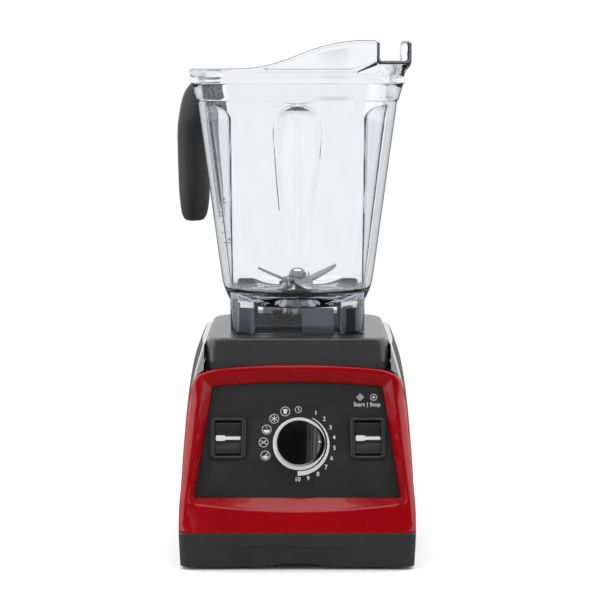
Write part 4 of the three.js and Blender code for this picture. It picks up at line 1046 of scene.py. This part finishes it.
# Columns of a quarter of the vessel: flat edge, flute, flat edge and corner
EDGE_COLUMNS = 6
FLUTE_SHARES = [i / 10 for i in range(-12, 13)]
CORNER_STEPS = 24
QUARTER_COLUMNS = EDGE_COLUMNS + len(FLUTE_SHARES) + EDGE_COLUMNS - 1 + CORNER_STEPS
CREASE = EDGE_COLUMNS + len(FLUTE_SHARES) + EDGE_COLUMNS - 2  # last column before the corner
LIP_COLUMNS = CORNER_STEPS + 3  # from there to the first column after the corner


def vessel_quarter(z, half_width, radius, inset):
    wall = half_width - inset
    straight = half_width - radius
    depth = flute_depth(z, half_width)
    # above its top the flute's columns go back to their widest
    width = min(curve_value(FLUTE_ROWS, z if z < FLUTE_TOP else FLUTE_WIDEST), straight * 0.8)
    if z < FLUTE_TOP:
        width = max(width, 0.5)
    edge = 1.2 * width
    points = [(mix(-straight, -edge, i / EDGE_COLUMNS), -wall) for i in range(EDGE_COLUMNS)]
    points += [(share * width, -wall + depth * flute_profile(share)) for share in FLUTE_SHARES]
    points += [(mix(edge, straight, i / EDGE_COLUMNS), -wall) for i in range(1, EDGE_COLUMNS)]
    points += arc(straight, -straight, max(radius - inset, 0.5), -90, 0, CORNER_STEPS)[:-1]
    return points


def vessel_ring(z, half_width, radius, inset=0.0):
    quarter = vessel_quarter(z, half_width, radius, inset)
    ring = []
    for c, s in ((1, 0), (0, 1), (-1, 0), (0, -1)):
        ring += [(x * c - y * s, x * s + y * c, z) for x, y in quarter]
    return ring


def vessel_at(z, inset=0.0):
    return vessel_ring(z, curve_value(VESSEL_ROWS, z, 1), curve_value(VESSEL_ROWS, z, 2), inset)


def circle_ring(radius, z):
    """A round ring whose points lie in the same directions as the vessel's."""
    ring = []
    for x, y, _ in vessel_ring(300, 70, 50):
        length = math.hypot(x, y)
        ring.append((x / length * radius, y / length * radius, z))
    return ring


def diagonal(offset, reach, z):
    """A point by the spout: reach along the corner's diagonal, offset across it."""
    return ((reach + offset) / math.sqrt(2), (-reach + offset) / math.sqrt(2), z)


def lip_point(k, half, bottom, reach=LIP_REACH):
    """Point k of 0..16 round the U of the spout's end: down a leg, round a corner, across and up again."""
    if k > 8:
        x, y, z = lip_point(16 - k, half, bottom, reach)
        return (-y, -x, z)
    corner = 2.6
    if k <= 3:
        return diagonal(-half, reach, mix(TIP - CHEEK_DROPS[-1], bottom + corner, k / 3))
    if k <= 5:
        angle = math.pi / 2 * (k - 3) / 2
        return diagonal(-half + corner * (1 - math.cos(angle)), reach,
                        bottom + corner * (1 - math.sin(angle)))
    return diagonal(mix(-half + corner, 0, (k - 5) / 3), reach, bottom)


# how far along each cheek the rim's columns stand, and how much its rounded tip has dropped there
CHEEK_SHARES = (0, 0.3, 0.6, 0.84, 0.95, 1)
CHEEK_DROPS = (0, 0, 0, 0.1, 0.7, 2.6)
LIP_INSET = 6  # the spout's end starts this many columns after the crease column


def rim_curves(inset):
    """The base, crease and rim lines above the collar, as rings; inset 0 is the outside."""
    base = vessel_ring(COLLAR_TOP, 90, 36, inset)
    crease = [(x, y, COLLAR_TOP + CREASE_RISE) for x, y, _ in base]
    rim = []
    for index, (x, y, _) in enumerate(base):
        along = x if index <= CREASE else -y
        climbing = index <= CREASE or QUARTER_COLUMNS < index < QUARTER_COLUMNS * 2 - CORNER_STEPS
        rim.append((x, y, curve_value(RIM_ROWS, along) if climbing else RIM))
    half, bottom = (LIP_HALF, LIP_BOTTOM) if inset == 0 else (LIP_HALF - LIP_WALL, LIP_FLOOR)
    start_x, start_y, _ = base[CREASE]
    cheek_start = (start_x, start_y, RIM_ROWS[-1][1])
    crease_start = (start_x, start_y, COLLAR_TOP + CREASE_RISE + inset * 0.5)
    last_cheek = len(CHEEK_SHARES) - 1
    for i in range(LIP_COLUMNS // 2 + 1):
        if i <= last_cheek:
            x, y, z = mix_points(cheek_start, lip_point(0, half, bottom), CHEEK_SHARES[i])
            top = (x, y, z - CHEEK_DROPS[i])
        else:
            top = lip_point(i - last_cheek, half, bottom)
        low = mix_points(crease_start, lip_point(4, half, bottom), i / 8) if i <= 8 else top
        for ring, (x, y, z) in ((crease, low), (rim, top)):
            ring[CREASE + i] = (x, y, z)
            ring[(CREASE + LIP_COLUMNS - 1 - i) % len(ring)] = (-y, -x, z)
    return base, crease, rim


def flanged(ring, rim, reach):
    """Pushes the level part of the rim outwards as a small flange."""
    out = []
    for (x, y, z), (_, _, top) in zip(ring, rim):
        level = 1 - smooth((top - RIM - 0.2) / 3)
        length = math.hypot(x, y)
        out.append((x + x / length * reach * level, y + y / length * reach * level, z))
    return out


def rows_between(first, second, steps):
    return [[mix_points(a, b, k / steps) for a, b in zip(first, second)] for k in range(1, steps)]


VESSEL_LEVELS = [213, 215, 217, 219, 221.5, 224, 227, 230, 234, 238, 242, *range(247, 356, 6), 357, 360, 363,
                 366, 368, 370, 371.5, 373, 374, 375, 376, 376.6, 377, 378.5, 380, 381.5, 382.3, 384, 387,
                 390, 393, 395.6, 396.4, 398, 400.2, 401, 402.2]
BLADE_BORE = 14.4  # radius of the hole in the jug's floor
SKIRT_HALF, SKIRT_CORNER, SKIRT_TOP = 57.3, 14, 219


def build_jug():
    vessel, crest, crease = build_vessel()
    build_rim_line(crest)
    build_spout_creases(crease)
    # what the skirt and the handle's lug must not reach into
    plug = loft([circle_ring(40, 210.5), vessel_ring(210.8, 56, 48), vessel_ring(213, 58.6, 45.5),
                 *(vessel_at(z, WALL / 2) for z in (218, 225, 245, 357, 378, 402))])
    skirt = raw_object("skirt", skirt_shape())
    combine(skirt, [skirt_cavity(), plug], "DIFFERENCE")
    lug = raw_object("lug", placed(block((97, -8, 368), (126, 8, 391)), turn(135, "Z")))
    combine(lug, [plug], "DIFFERENCE")
    parts = [shape_of(skirt), shape_of(lug)]
    screw_bores = [placed(turned([(2.4, -30), (2.4, 30)], 24), turn(135, "Z") @ at(121, 0, z) @ turn(90, "X"))
                   for z in (374.5, 385)]
    piece("jug", vessel, clear, "jug", ["jug_body"], joins=parts, cuts=screw_bores, sharp=38)


def build_vessel():
    """The vessel's shape, and the rings along the crest of its rim and along its crease."""
    floor_top = 214.5
    outside = [circle_ring(BLADE_BORE, 209.5), circle_ring(27, 209.5), circle_ring(40, 208),
               circle_ring(50, 206.2), vessel_ring(205.9, 54.5, 54), vessel_ring(206.4, 56.6, 55),
               vessel_ring(207.6, 58.2, 54.5), vessel_ring(210, 59.4, 51)]
    outside += [vessel_at(z) for z in VESSEL_LEVELS]
    base, crease, rim = rim_curves(0)
    base_in, crease_in, rim_in = rim_curves(WALL)
    outside += [base, *rows_between(base, crease, 2), crease]
    lip_low = [mix_points(a, b, 0.08) for a, b in zip(crease, rim)]
    rim_out = flanged(rim, rim, FLANGE * 0.9)
    outside.append(flanged(lip_low, rim, FLANGE * 0.9))
    outside += [flanged(row, rim, FLANGE) for row in rows_between(lip_low, rim, 6)]
    outside.append(rim_out)
    # the rounded edge bulges upwards, and outwards across the spout's end
    edge = []
    for share, bulge in ((0.06, 0.6), (0.25, 1.1), (0.5, 1.35), (0.75, 1.1), (0.94, 0.6)):
        row = []
        for index, (a, b) in enumerate(zip(rim_out, rim_in)):
            x, y, z = mix_points(a, b, share)
            at_lip = CREASE + LIP_INSET <= index <= CREASE + LIP_COLUMNS - 1 - LIP_INSET
            push = bulge / math.sqrt(2) if at_lip else 0
            row.append((x + push, y - push, z + (0 if at_lip else bulge)))
        edge.append(row)
    inside = [rim_in, *rows_between(rim_in, crease_in, 6), crease_in]
    inside += [*rows_between(crease_in, base_in, 2), base_in]
    inside += [vessel_at(z, WALL) for z in reversed(VESSEL_LEVELS) if z > 221]
    inside += [vessel_ring(*row, WALL) for row in ((219.5, 61.5, 44), (217.2, 58.5, 46), (215.4, 53, 47))]
    inside += [circle_ring(radius, floor_top) for radius in (44, 27, BLADE_BORE)]
    return closed_loft([*outside, *edge, *inside]), edge[2], crease


def skirt_shape():
    rows = ((-0.8, SKIRT_BOTTOM), (-0.1, SKIRT_BOTTOM + 0.4), (0.3, SKIRT_BOTTOM + 1.2),
            (0.3, SKIRT_BOTTOM + 2.4), (0, SKIRT_BOTTOM + 4), (0, SKIRT_TOP - 1.2), (-0.4, SKIRT_TOP - 0.3),
            (-1.2, SKIRT_TOP))
    return loft(rounded_rings([(SKIRT_HALF + grow, SKIRT_HALF + grow, SKIRT_CORNER + grow, z)
                               for grow, z in rows], 10))


def skirt_cavity():
    """The skirt's inside is cut across its corners, which leaves thick facets there."""
    half, chamfer = 53.2, 17
    outline = mirrored([(0, -half), (half - chamfer, -half), (half, -half + chamfer), (half, half - chamfer),
                        (half - chamfer, half), (0, half)])
    return plate(outline, SKIRT_BOTTOM - 1, SKIRT_TOP - 3)


def build_rim_line(crest):
    """Painted shade: a fine dark line along the crest of the rim, everywhere but across the spout's end,
    standing in for the dark look of the clear plastic's edge.
    """
    path = crest[CREASE + LIP_COLUMNS - LIP_INSET + 1:] + crest[:CREASE + LIP_INSET]
    sections = []
    for x, y, z in path:
        length = math.hypot(x, y)
        out_x, out_y = x / length * 0.45, y / length * 0.45
        sections.append([(x + out_x, y + out_y, z - 0.2), (x + out_x * 0.6, y + out_y * 0.6, z + 0.3),
                         (x - out_x * 0.6, y - out_y * 0.6, z + 0.3), (x - out_x, y - out_y, z - 0.2)])
    piece("rim_line", loft(sections), rim_shade_grey, "jug", sharp=60)


def build_spout_creases(crease):
    """Painted shade: dark navy strips along the creases under the spout's cheeks, which thicken towards its
    end, standing in for the dark look of the clear plastic there.
    """
    strips = []
    last = CREASE + LIP_COLUMNS - 1
    for first, step in ((CREASE, 1), (last, -1)):
        sections = []
        for i in range(9):
            x, y, z = crease[(first + step * i) % len(crease)]
            size = 0.35 + 0.9 * i / 8
            half = size / 2
            sections.append([(x + half, y - half, z - size), (x + half, y - half, z + size),
                             (x - half, y + half, z + size), (x - half, y + half, z - size)])
        strips.append(loft(sections))
    piece("spout_creases", together(*strips), spout_shade_navy, "jug", sharp=60)


def build_spout_edge():
    """Painted shade: a dark navy edge that follows the U of the spout's end, standing in for the dark look of
    the clear plastic there.
    """
    rings = []
    for share, grow in ((0.1, 0.7), (0.1, 1.5), (0.5, 1.8), (0.9, 1.5), (0.9, 0.7)):
        half, bottom = mix(LIP_HALF, LIP_HALF - 3.5, share), mix(LIP_BOTTOM, LIP_FLOOR, share)
        rings.append([lip_point(k, half, bottom, LIP_REACH + grow) for k in range(17)])
    vertices = [p for ring in rings for p in ring]
    n, m = len(rings[0]), len(rings)
    faces = [(k * n + i, k * n + i + 1, (k + 1) % m * n + i + 1, (k + 1) % m * n + i)
             for k in range(m) for i in range(n - 1)]
    faces += [tuple(k * n for k in range(m)), tuple(k * n + n - 1 for k in reversed(range(m)))]
    piece("spout_edge", (vertices, faces), spout_shade_navy, "jug", sharp=50)


def build_skirt_faces():
    """Painted reflections: light blue-grey see-through panels just inside the skirt's walls, a wide, a narrow
    and a middling one on each side, where the skirt's facets show light.
    """
    faces = []
    for quarter in range(4):
        for first, last in ((3.9, 30.7), (36.5, 41.5), (-51, -36.5)):
            faces.append(placed(block((first, -52.9, 185.5), (last, -52.0, 206)), turn(90 * quarter, "Z")))
    piece("skirt_painted_reflections", together(*faces), skirt_reflection_paint, "jug", round_edges=0.2)


def shape_of(obj):
    """Takes a scratch object's mesh back as a shape and removes the object."""
    mesh = obj.data
    vertices = [tuple(c / MM for c in v.co) for v in mesh.vertices]
    shape = vertices, [tuple(p.vertices) for p in mesh.polygons]
    bpy.data.objects.remove(obj)
    bpy.data.meshes.remove(mesh)
    return shape


MARK_FIRST, MARK_SPACING, MARK_COUNT = 262, 8.6, 15  # every fourth measuring stroke is a long one


def build_measure_marks():
    """Short raised measuring strokes round the front left corner of the jug."""
    shapes = []
    for i in range(MARK_COUNT):
        shapes.append(corner_stroke(MARK_FIRST + MARK_SPACING * i, 216, 223 if i % 4 else 232, 0.45))
    for i in range(0, MARK_COUNT, 4):
        shapes.append(corner_stroke(MARK_FIRST + MARK_SPACING * i + 3, 226, 230, 0.9))
    piece("measure_marks", together(*shapes), print_grey, "jug")


def corner_stroke(z, first, last, half_height):
    """A thin raised strip round the corner at height z, between two directions in degrees."""
    half_width, radius = curve_value(VESSEL_ROWS, z, 1), curve_value(VESSEL_ROWS, z, 2)
    centre = -(half_width - radius)
    rings = []
    for level in (z - half_height, z + half_height):
        outer = arc(centre, centre, radius + 0.3, first, last, 8)
        inner = arc(centre, centre, radius - 0.2, last, first, 8)
        rings.append(at_height(outer + inner, level))
    return loft(rings)


# Handle by height: distances of its inner and outer face from the axis, and its half-width
HANDLE_ROWS = [(269.5, 130.4, 137, 5.6), (270.2, 128.8, 139, 8.4), (272, 127.2, 140.8, 10.8),
               (278, 124.8, 143, 13), (290, 122.8, 144.8, 14.2), (300, 122.4, 145.8, 14.6),
               (345, 122.6, 147, 15.2), (358, 119, 146.6, 15.6), (366, 110, 145.6, 16), (376, 107, 143, 16),
               (386, 108, 138.2, 15.6), (392, 110, 132.5, 14.6), (394.6, 110.6, 129, 13.4),
               (395.5, 112, 126, 12)]
HANDLE_LEVELS = [269.5, 269.8, 270.3, 271, 272, 273.5, 275.5, 278, *range(282, 344, 6), 347, 351, 354, 357,
                 359.5, 362, 364, 366, 368.5, 371, 374, 377, 380, 383, 386, 389, 391, 392.7, 393.8, 394.6,
                 395.2, 395.5]
HANDLE_SQUARENESS = 0.82  # 1 gives elliptical sections, less gives squarer ones


def build_handle():
    directions = circle(1, 64)
    rings = []
    for z in HANDLE_LEVELS:
        inner, outer, half = (curve_value(HANDLE_ROWS, z, column) for column in (1, 2, 3))
        middle, depth = (inner + outer) / 2, (outer - inner) / 2
        ring = []
        for c, s in directions:
            x = middle + depth * math.copysign(abs(c) ** HANDLE_SQUARENESS, c)
            ring.append((x, half * math.copysign(abs(s) ** HANDLE_SQUARENESS, s), z))
        rings.append(ring)
    grip = placed(loft(rings), turn(135, "Z"))
    jug_space = loft([vessel_at(z, -0.3) for z in (330, 357, 370, 378.3, 381.5, 388, 396.4, 400.2)])
    lug_space = placed(block((90, -8.3, 367.7), (126.3, 8.3, 391.3)), turn(135, "Z"))
    piece("handle_soft_grip", grip, soft_grip, "jug", ["handle_grip"],
          cuts=[jug_space, lug_space], sharp=45)


# ---------------------------------------------------------------- blade unit and drive


def build_blades():
    plane = joint("blade_spin")["pos_m"][2] / MM
    outline = [(9, -8), (16, -8.6), (24, -7.4), (33, -4.8), (37, -1.4), (40, 3.4), (36, 4.3), (30, 4.6),
               (22, 6.4), (16, 7.6), (9, 8)]
    sheet, bend_at = plate(outline, -0.9, 0.9), 13
    wings = []
    for turn_degrees, bend in ((20, -24), (200, -24), (110, 17), (290, 17)):
        bent = at(bend_at, 0, 0) @ turn(bend, "Y") @ at(-bend_at, 0, 0)
        wings.append(placed(sheet, at(0, 0, plane) @ turn(turn_degrees, "Z") @ bent))
    hub = turned([(12.5, plane - 0.9), (12.5, plane + 0.9)], 48)
    piece("blade_wings_ground", hub, steel, "blades", ["blade_wings"], joins=wings,
          round_edges=0.25)
    nut_radius = 8
    flat_radius = nut_radius * math.cos(math.pi / 6)
    dome = turned([(flat_radius, 231.2), (6.6, 233), (4.4, 234.6), (2, 235.2), (0, 235.3)], 48)
    piece("blade_nut_domed", plate(circle(nut_radius, 6), plane + 1.2, 231.4), steel, "blades",
          ["blade_cap_nut"], joins=[dome], round_edges=0.3)
    seat = 214.8
    body = [(5, 206), (14, 206), (14, seat), (18.6, seat), (19, seat + 0.4), (19, seat + 1.4),
            (18.5, seat + 1.8), (13, 218.6), (11.6, 220.4), (10, 223.6), (9.4, 224.3), (5, 224.3)]
    piece("blade_bearing_turned", ring_turned(body, 64), steel, "jug", ["blade_bearing_housing"])
    teeth = []
    for i in range(16):
        teeth += arc(0, 0, 21 if i % 2 else 24.5, 22.5 * i - 9, 22.5 * i + 9, 1)
    bore = turned([(14.3, 200), (14.3, 215)], 48)
    piece("retainer_nut_cast", plate(teeth, 205.7, 209.1), aluminium, "jug", ["retainer_nut"],
          cuts=[bore], round_edges=0.3)


def build_drive_socket():
    top = box_mm("drive_socket")[1].z
    profile = [(5.1, 188), (11, 188), (12.6, 189.4), (13, 190.4), (13, top - 1.2), (12.6, top - 0.4),
               (11.8, top), (7.4, top), (5.1, top - 2)]
    teeth = [tip if i % 2 == 0 else root
             for i, (tip, root) in enumerate(zip(circle(7.2, 24), circle(6.4, 24)))]
    piece("drive_socket_splined", ring_turned(profile, 64), steel, "rotor", ["drive_socket"],
          cuts=[plate(teeth, 193, top + 1)])


# ---------------------------------------------------------------- stage

# Soft boxes of the studio: azimuth from the front (positive to the right), its half-width, elevation, its
# half-height, softness, all in degrees, and strength. An azimuth half-width of 180 goes all the way round.
SOFT_BOXES = [
    (-74, 20, 28, 28, 14, 3.0),
    (74, 20, 28, 28, 14, 2.6),
    (0, 180, 90, 28, 16, 3.0),
    (0, 66, 3, 11, 14, 0.2),
    (-4.9, 0.6, 30, 18, 0.6, 0.5),
    (-6.6, 0.4, 30, 18, 0.5, 0.9),
    (-8.4, 0.7, 30, 18, 0.5, 1.3),
    (-10.6, 0.8, 30, 18, 0.6, 2.0),
]
FAINT_LIGHT = 0.035
TRAPPED_SHARE = 0.2  # of the light lost at each of the first two bounces inside clear plastic
REFLECTED_FLOOR = 0.16  # brightness of the floor in the object's gloss
FLOOR_FADE = (0.2, 0.42)  # distances, in metres, between which the floor goes over to even white


def trapped_light(graph, path):
    """Some of the light that has bounced about inside clear plastic is lost, which draws its edges darker."""
    bounces = graph.maths("MINIMUM", path["Glossy Depth"], 2)
    bounces = graph.maths("MULTIPLY", bounces, path["Is Transmission Ray"])
    return graph.maths("MULTIPLY", bounces, TRAPPED_SHARE)


def dimmed(graph, light, amount, by):
    """The light with the share by taken away where amount is 1."""
    return graph.maths("MULTIPLY", light, graph.maths("MULTIPLY_ADD", amount, -by, 1.0))


def studio_light(graph, azimuth, elevation):
    """The soft boxes and the white sweep behind the object, which is brighter to its sides."""
    behind = graph.maths("SUBTRACT", 1, graph.band(azimuth, 0, 96, 24))
    aside = graph.maths("SUBTRACT", 1.0, graph.band(azimuth, 0, 160, 20))
    sweep = graph.maths("MULTIPLY", behind, graph.maths("MULTIPLY_ADD", aside, -1.2, 2.2))
    total = graph.maths("MULTIPLY", sweep, graph.band(elevation, 0, 70, 30))
    total = graph.maths("ADD", total, FAINT_LIGHT)
    for azimuth_at, azimuth_half, elevation_at, elevation_half, soft, strength in SOFT_BOXES:
        across = graph.band(azimuth, azimuth_at, azimuth_half, soft if azimuth_half < 180 else 0.01)
        upward = graph.band(elevation, elevation_at, elevation_half, soft)
        total = graph.maths("MULTIPLY_ADD", graph.maths("MULTIPLY", across, upward), strength, total)
    return total


def build_world():
    world = bpy.data.worlds.new("studio")
    bpy.context.scene.world = world
    world.use_nodes = True
    graph = Graph(world.node_tree)
    direction = graph.nodes.new("ShaderNodeSeparateXYZ")
    graph.wire(graph.coordinates["Generated"], direction.inputs["Vector"])
    ahead = graph.maths("MULTIPLY", direction.outputs["Y"], -1)
    azimuth = graph.maths("DEGREES", graph.maths("ARCTAN2", direction.outputs["X"], ahead))
    elevation = graph.maths("DEGREES", graph.maths("ARCSINE", direction.outputs["Z"]))
    light = studio_light(graph, azimuth, elevation)
    # seen through the clear jug: a bright horizon, a dimmer ceiling and front, a faint upright band behind
    overhead = graph.band(elevation, 90, 52, 60)
    through = dimmed(graph, 1.0, overhead, 0.7)
    through = dimmed(graph, through, graph.band(azimuth, 0, 62, 30), 0.35)
    column = graph.band(azimuth, 179.05, 0.4, 0.5)
    above = graph.maths("MULTIPLY", elevation, 1.4, clamp=True)
    through = dimmed(graph, through, graph.maths("MULTIPLY", column, above), 0.2)
    path = graph.nodes.new("ShaderNodeLightPath").outputs
    through = graph.mix_numbers(trapped_light(graph, path), through, 0)
    light = graph.mix_numbers(path["Is Transmission Ray"], light, through)
    light = graph.mix_numbers(path["Is Camera Ray"], light, 1.0)
    background = graph.find("BACKGROUND").inputs
    graph.wire(light, background["Strength"])
    background["Color"].default_value = (1, 1, 1, 1)


def floor_material():
    """White paper that takes the contact shadow and runs out to even white; dim in reflections."""
    material, graph, surface = bare_material("white_sweep")
    surface["Roughness"].default_value = 0.9
    surface["Specular IOR Level"].default_value = 0.1
    tone = graph.nodes.new("ShaderNodeCombineColor")
    level = graph.spread(graph.noise(30, 3), 0.84, 0.86)
    for channel in ("Red", "Green", "Blue"):
        graph.wire(level, tone.inputs[channel])
    graph.wire(tone.outputs["Color"], surface["Base Color"])
    length = graph.nodes.new("ShaderNodeVectorMath")
    length.operation = "LENGTH"
    graph.wire(graph.coordinates["Object"], length.inputs[0])
    far = graph.map_range(length.outputs["Value"], *FLOOR_FADE, interpolation="SMOOTHSTEP")
    path = graph.nodes.new("ShaderNodeLightPath").outputs
    reflected = graph.maths("SUBTRACT", path["Is Glossy Ray"], path["Is Transmission Ray"], clamp=True)
    look = graph.mix_shaders(far, graph.find("BSDF_PRINCIPLED").outputs["BSDF"], graph.glow(1.0))
    look = graph.mix_shaders(trapped_light(graph, path), look, graph.glow(0.0))
    look = graph.mix_shaders(reflected, look, graph.glow(REFLECTED_FLOOR))
    graph.wire(look, graph.find("OUTPUT_MATERIAL").inputs["Surface"])
    return material


def build_stage():
    bpy.ops.mesh.primitive_plane_add(size=30, location=(0, 0, box_mm("foot_1")[0].z * MM))
    floor = bpy.context.object
    floor.name = "floor"
    floor.data.materials.append(floor_material())
    build_world()


CAMERA_PLACE = (0.0022, -1.7305, 0.406)  # metres
CAMERA_TILT = 6.57  # degrees below level
CAMERA_LENS, CAMERA_SENSOR = 119.2, 36


def build_camera():
    camera = bpy.data.cameras.new("camera")
    camera.lens = CAMERA_LENS
    camera.sensor_width = CAMERA_SENSOR
    view = bpy.data.objects.new("camera", camera)
    view.location = CAMERA_PLACE
    view.rotation_euler = (math.radians(90 - CAMERA_TILT), 0, 0)
    bpy.context.scene.collection.objects.link(view)
    bpy.context.scene.camera = view
    bpy.context.scene.view_settings.view_transform = "Standard"


# ---------------------------------------------------------------- assembly

build_camera()
build_stage()
build_tray()
build_housing()
build_fascia()
build_pedestal()
build_pad()
build_feet()
build_panel()
build_paddle_switch("pulse", PULSE_U, "pulse_rocker")
build_paddle_switch("start_stop", START_U, "start_stop_rocker")
build_dial()
build_dial_scale()
build_program_marks()
build_start_stop_label()
build_rear_face()
build_jug()
build_spout_edge()
build_skirt_faces()
build_measure_marks()
build_handle()
build_blades()
build_drive_socket()

refinish(charcoal, "air_duct_ring", "pulse_switch_body", "start_stop_switch_body", "handle_core")
refinish(steel, "stator_stack", "lower_bearing", "upper_bearing", "motor_shaft", "blade_shaft", "dial_shaft",
         "motor_screw_left", "motor_screw_right", "handle_screw_1", "handle_screw_2",
         *(f"tray_screw_{i}" for i in range(1, 5)))
refinish(aluminium, "dial_encoder", "heat_sink", "lower_bearing_bracket", "upper_bearing_bracket")
refinish(copper, "field_coil_front", "field_coil_rear", "armature", "commutator")
refinish(carbon, "carbon_brush_left", "carbon_brush_right")
refinish(board_green, "control_board")
refinish(nylon, "brush_holder_left", "brush_holder_right", "cooling_fan")
